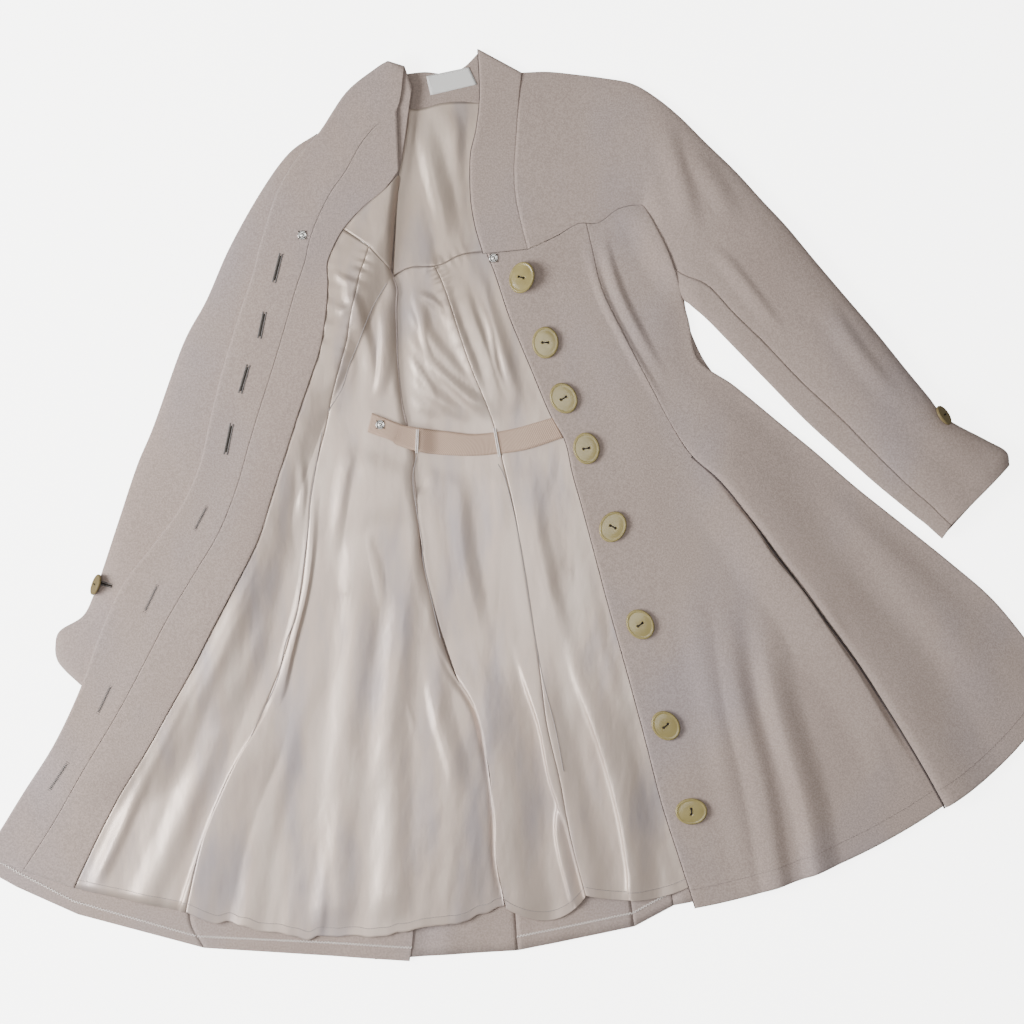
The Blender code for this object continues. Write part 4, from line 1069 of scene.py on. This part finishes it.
def make_finishes():
    tree, shader = new_finish("wool", (0.45, 0.38, 0.355), 0.88, (
        ("Sheen Weight", 0.25), ("Sheen Roughness", 0.5), ("Specular IOR Level", 0.25)))
    tones = blend_colours(tree, noise(tree, 5, 3, (1.3, 0.8, 1), 25), (
        (0.3, (0.39, 0.305, 0.265)), (0.5, (0.42, 0.333, 0.293)), (0.7, (0.392, 0.325, 0.315))))
    grain = blend_colours(tree, noise(tree, 520, 5), ((0.38, (0.6, 0.6, 0.6)), (0.62, (1, 1, 1))))
    tree.links.new(multiply(tree, tones, grain, 0.55), shader.inputs["Base Color"])
    bump(tree, shader, noise(tree, 1000, 3), 0.7, 0.5)

    tree, shader = new_finish("satin", (0.52, 0.46, 0.43), 0.44, (
        ("Metallic", 0.42), ("Sheen Weight", 0.15), ("Specular IOR Level", 0.65), ("Anisotropic", 0.4)))
    tones = blend_colours(tree, noise(tree, 7, 4, (3, 0.8, 1), 12), (
        (0.32, (0.42, 0.36, 0.355)), (0.5, (0.57, 0.46, 0.39)), (0.68, (0.66, 0.55, 0.475))))
    place = tree.nodes.new("ShaderNodeTexCoord")
    split = tree.nodes.new("ShaderNodeSeparateXYZ")
    tree.links.new(place.outputs["Object"], split.inputs["Vector"])
    # Painted shade: the satin's colour is multiplied darker towards the collar, from no change at Y = 0 to
    # about 0.8 at Y = 0.24 m and above.
    painted_shade_toward_collar = blend_colours(tree, split.outputs["Y"], ((0.0, (1, 1, 1)), (0.24, (0.80, 0.785, 0.755))))
    tree.links.new(multiply(tree, tones, painted_shade_toward_collar, 1.0), shader.inputs["Base Color"])
    creases = blend_colours(tree, noise(tree, 6, 1, (2.2, 0.6, 1), -22), (
        (0.36, (1, 1, 1)), (0.5, (0, 0, 0)), (0.60, (1, 1, 1))))
    soft = None
    for height, strength, depth in ((noise(tree, 16, 3, (2.2, 0.7, 1), 14), 0.35, 3.0),
                                    (noise(tree, 34, 3, (1.5, 0.8, 1), -30), 0.45, 1.5),
                                    (creases, 0.22, 1.2), (noise(tree, 1500, 2), 0.12, 0.2)):
        soft = bump(tree, shader, height, strength, depth, soft)

    tree, shader = new_finish("ribbon", (0.60, 0.44, 0.38), 0.62)
    uv = tree.nodes.new("ShaderNodeUVMap")
    ribs = tree.nodes.new("ShaderNodeTexWave")
    ribs.inputs["Scale"].default_value = 46
    tree.links.new(uv.outputs["UV"], ribs.inputs["Vector"])
    shade = blend_colours(tree, ribs.outputs["Fac"], ((0, (0.41, 0.275, 0.20)), (1, (0.59, 0.42, 0.32))))
    tree.links.new(shade, shader.inputs["Base Color"])
    bump(tree, shader, ribs.outputs["Fac"], 0.6, 0.4)

    tree, shader = new_finish("label", (0.70, 0.69, 0.67), 0.45)
    bump(tree, shader, noise(tree, 1400, 2, (1, 4, 1)), 0.3, 0.2)

    tree, shader = new_finish("button", (0.33, 0.28, 0.15), 0.22, (
        ("Specular IOR Level", 0.35), ("Coat Weight", 0.15), ("Coat Roughness", 0.05)))
    tones = blend_colours(tree, noise(tree, 60, 4), ((0.3, (0.25, 0.20, 0.075)), (0.7, (0.33, 0.27, 0.11))))
    tree.links.new(tones, shader.inputs["Base Color"])
    # cuff_button: the button colour made darker, painted shade for the cuff buttons on edge; it is also
    # rougher, with less gloss.
    new_finish("cuff_button", (0.20, 0.155, 0.075), 0.4, (("Specular IOR Level", 0.15),))

    tree, shader = new_finish("snap", (0.50, 0.49, 0.47), 0.28, (("Metallic", 1.0),))
    bump(tree, shader, noise(tree, 700, 2), 0.1, 0.1)

    # The near-black wool finish here is painted shadow for the two dark lines along the left front; dark is
    # the button threads' colour and also painted shade in the open buttonhole slits.
    for name, colour in (("dark", (0.03, 0.025, 0.02)), ("painted_shadow_wool", (0.10, 0.08, 0.075)),
                         ("grey_thread", (0.16, 0.15, 0.145)), ("wool_thread", (0.27, 0.225, 0.21)),
                         ("pale_thread", (0.78, 0.72, 0.68)), ("satin_thread", (0.36, 0.32, 0.31))):
        new_finish(name, colour, 0.8, (("Specular IOR Level", 0.2),))
    new_finish("floor", (0.9, 0.9, 0.89), 0.8, (
        ("Specular IOR Level", 0.2), ("Emission Color", (1, 0.995, 0.975, 1)),
        ("Emission Strength", FLOOR_GLOW)))


def add_light(name, place, size, power):
    lamp = bpy.data.lights.new(name, "AREA")
    lamp.shape = "RECTANGLE"
    lamp.size, lamp.size_y = size
    lamp.energy = power
    made = bpy.data.objects.new(name, lamp)
    made.location = place
    made.rotation_mode = "QUATERNION"
    made.rotation_quaternion = (-Vector(place)).to_track_quat("-Z", "Y")
    bpy.context.scene.collection.objects.link(made)


def make_stage():
    bm = bmesh.new()
    bmesh.ops.create_grid(bm, x_segments=1, y_segments=1, size=4)
    mesh = bpy.data.meshes.new("floor")
    bm.to_mesh(mesh)
    bm.free()
    mesh.materials.append(finishes["floor"])
    floor = bpy.data.objects.new("floor", mesh)
    floor.location = (0, 0, -0.0004)
    floor.visible_diffuse = False
    floor.visible_glossy = False
    bpy.context.scene.collection.objects.link(floor)
    for light in LIGHTS:
        add_light(*light)
    world = bpy.data.worlds.new("studio")
    bpy.context.scene.world = world
    world.use_nodes = True
    world.node_tree.nodes["Background"].inputs["Color"].default_value = (1, 0.985, 0.96, 1)
    world.node_tree.nodes["Background"].inputs["Strength"].default_value = 0.3
    camera = bpy.data.cameras.new("camera")
    camera.sensor_width = SENSOR
    camera.lens = SENSOR * CAMERA_HEIGHT / PHOTO_SPAN
    seen = bpy.data.objects.new("camera", camera)
    seen.location = (*PHOTO_MIDDLE, CAMERA_HEIGHT)
    bpy.context.scene.collection.objects.link(seen)
    bpy.context.scene.camera = seen


make_finishes()
make_back()
make_right_sleeve()
make_right_front()
make_back_lining()
make_left_sleeve()
make_left_front()
make_trim()
make_buttons()
make_buttonholes()
make_stitching()
make_loops()
threads("button_threads", BARS, 0.38, "dark")
make_stage()
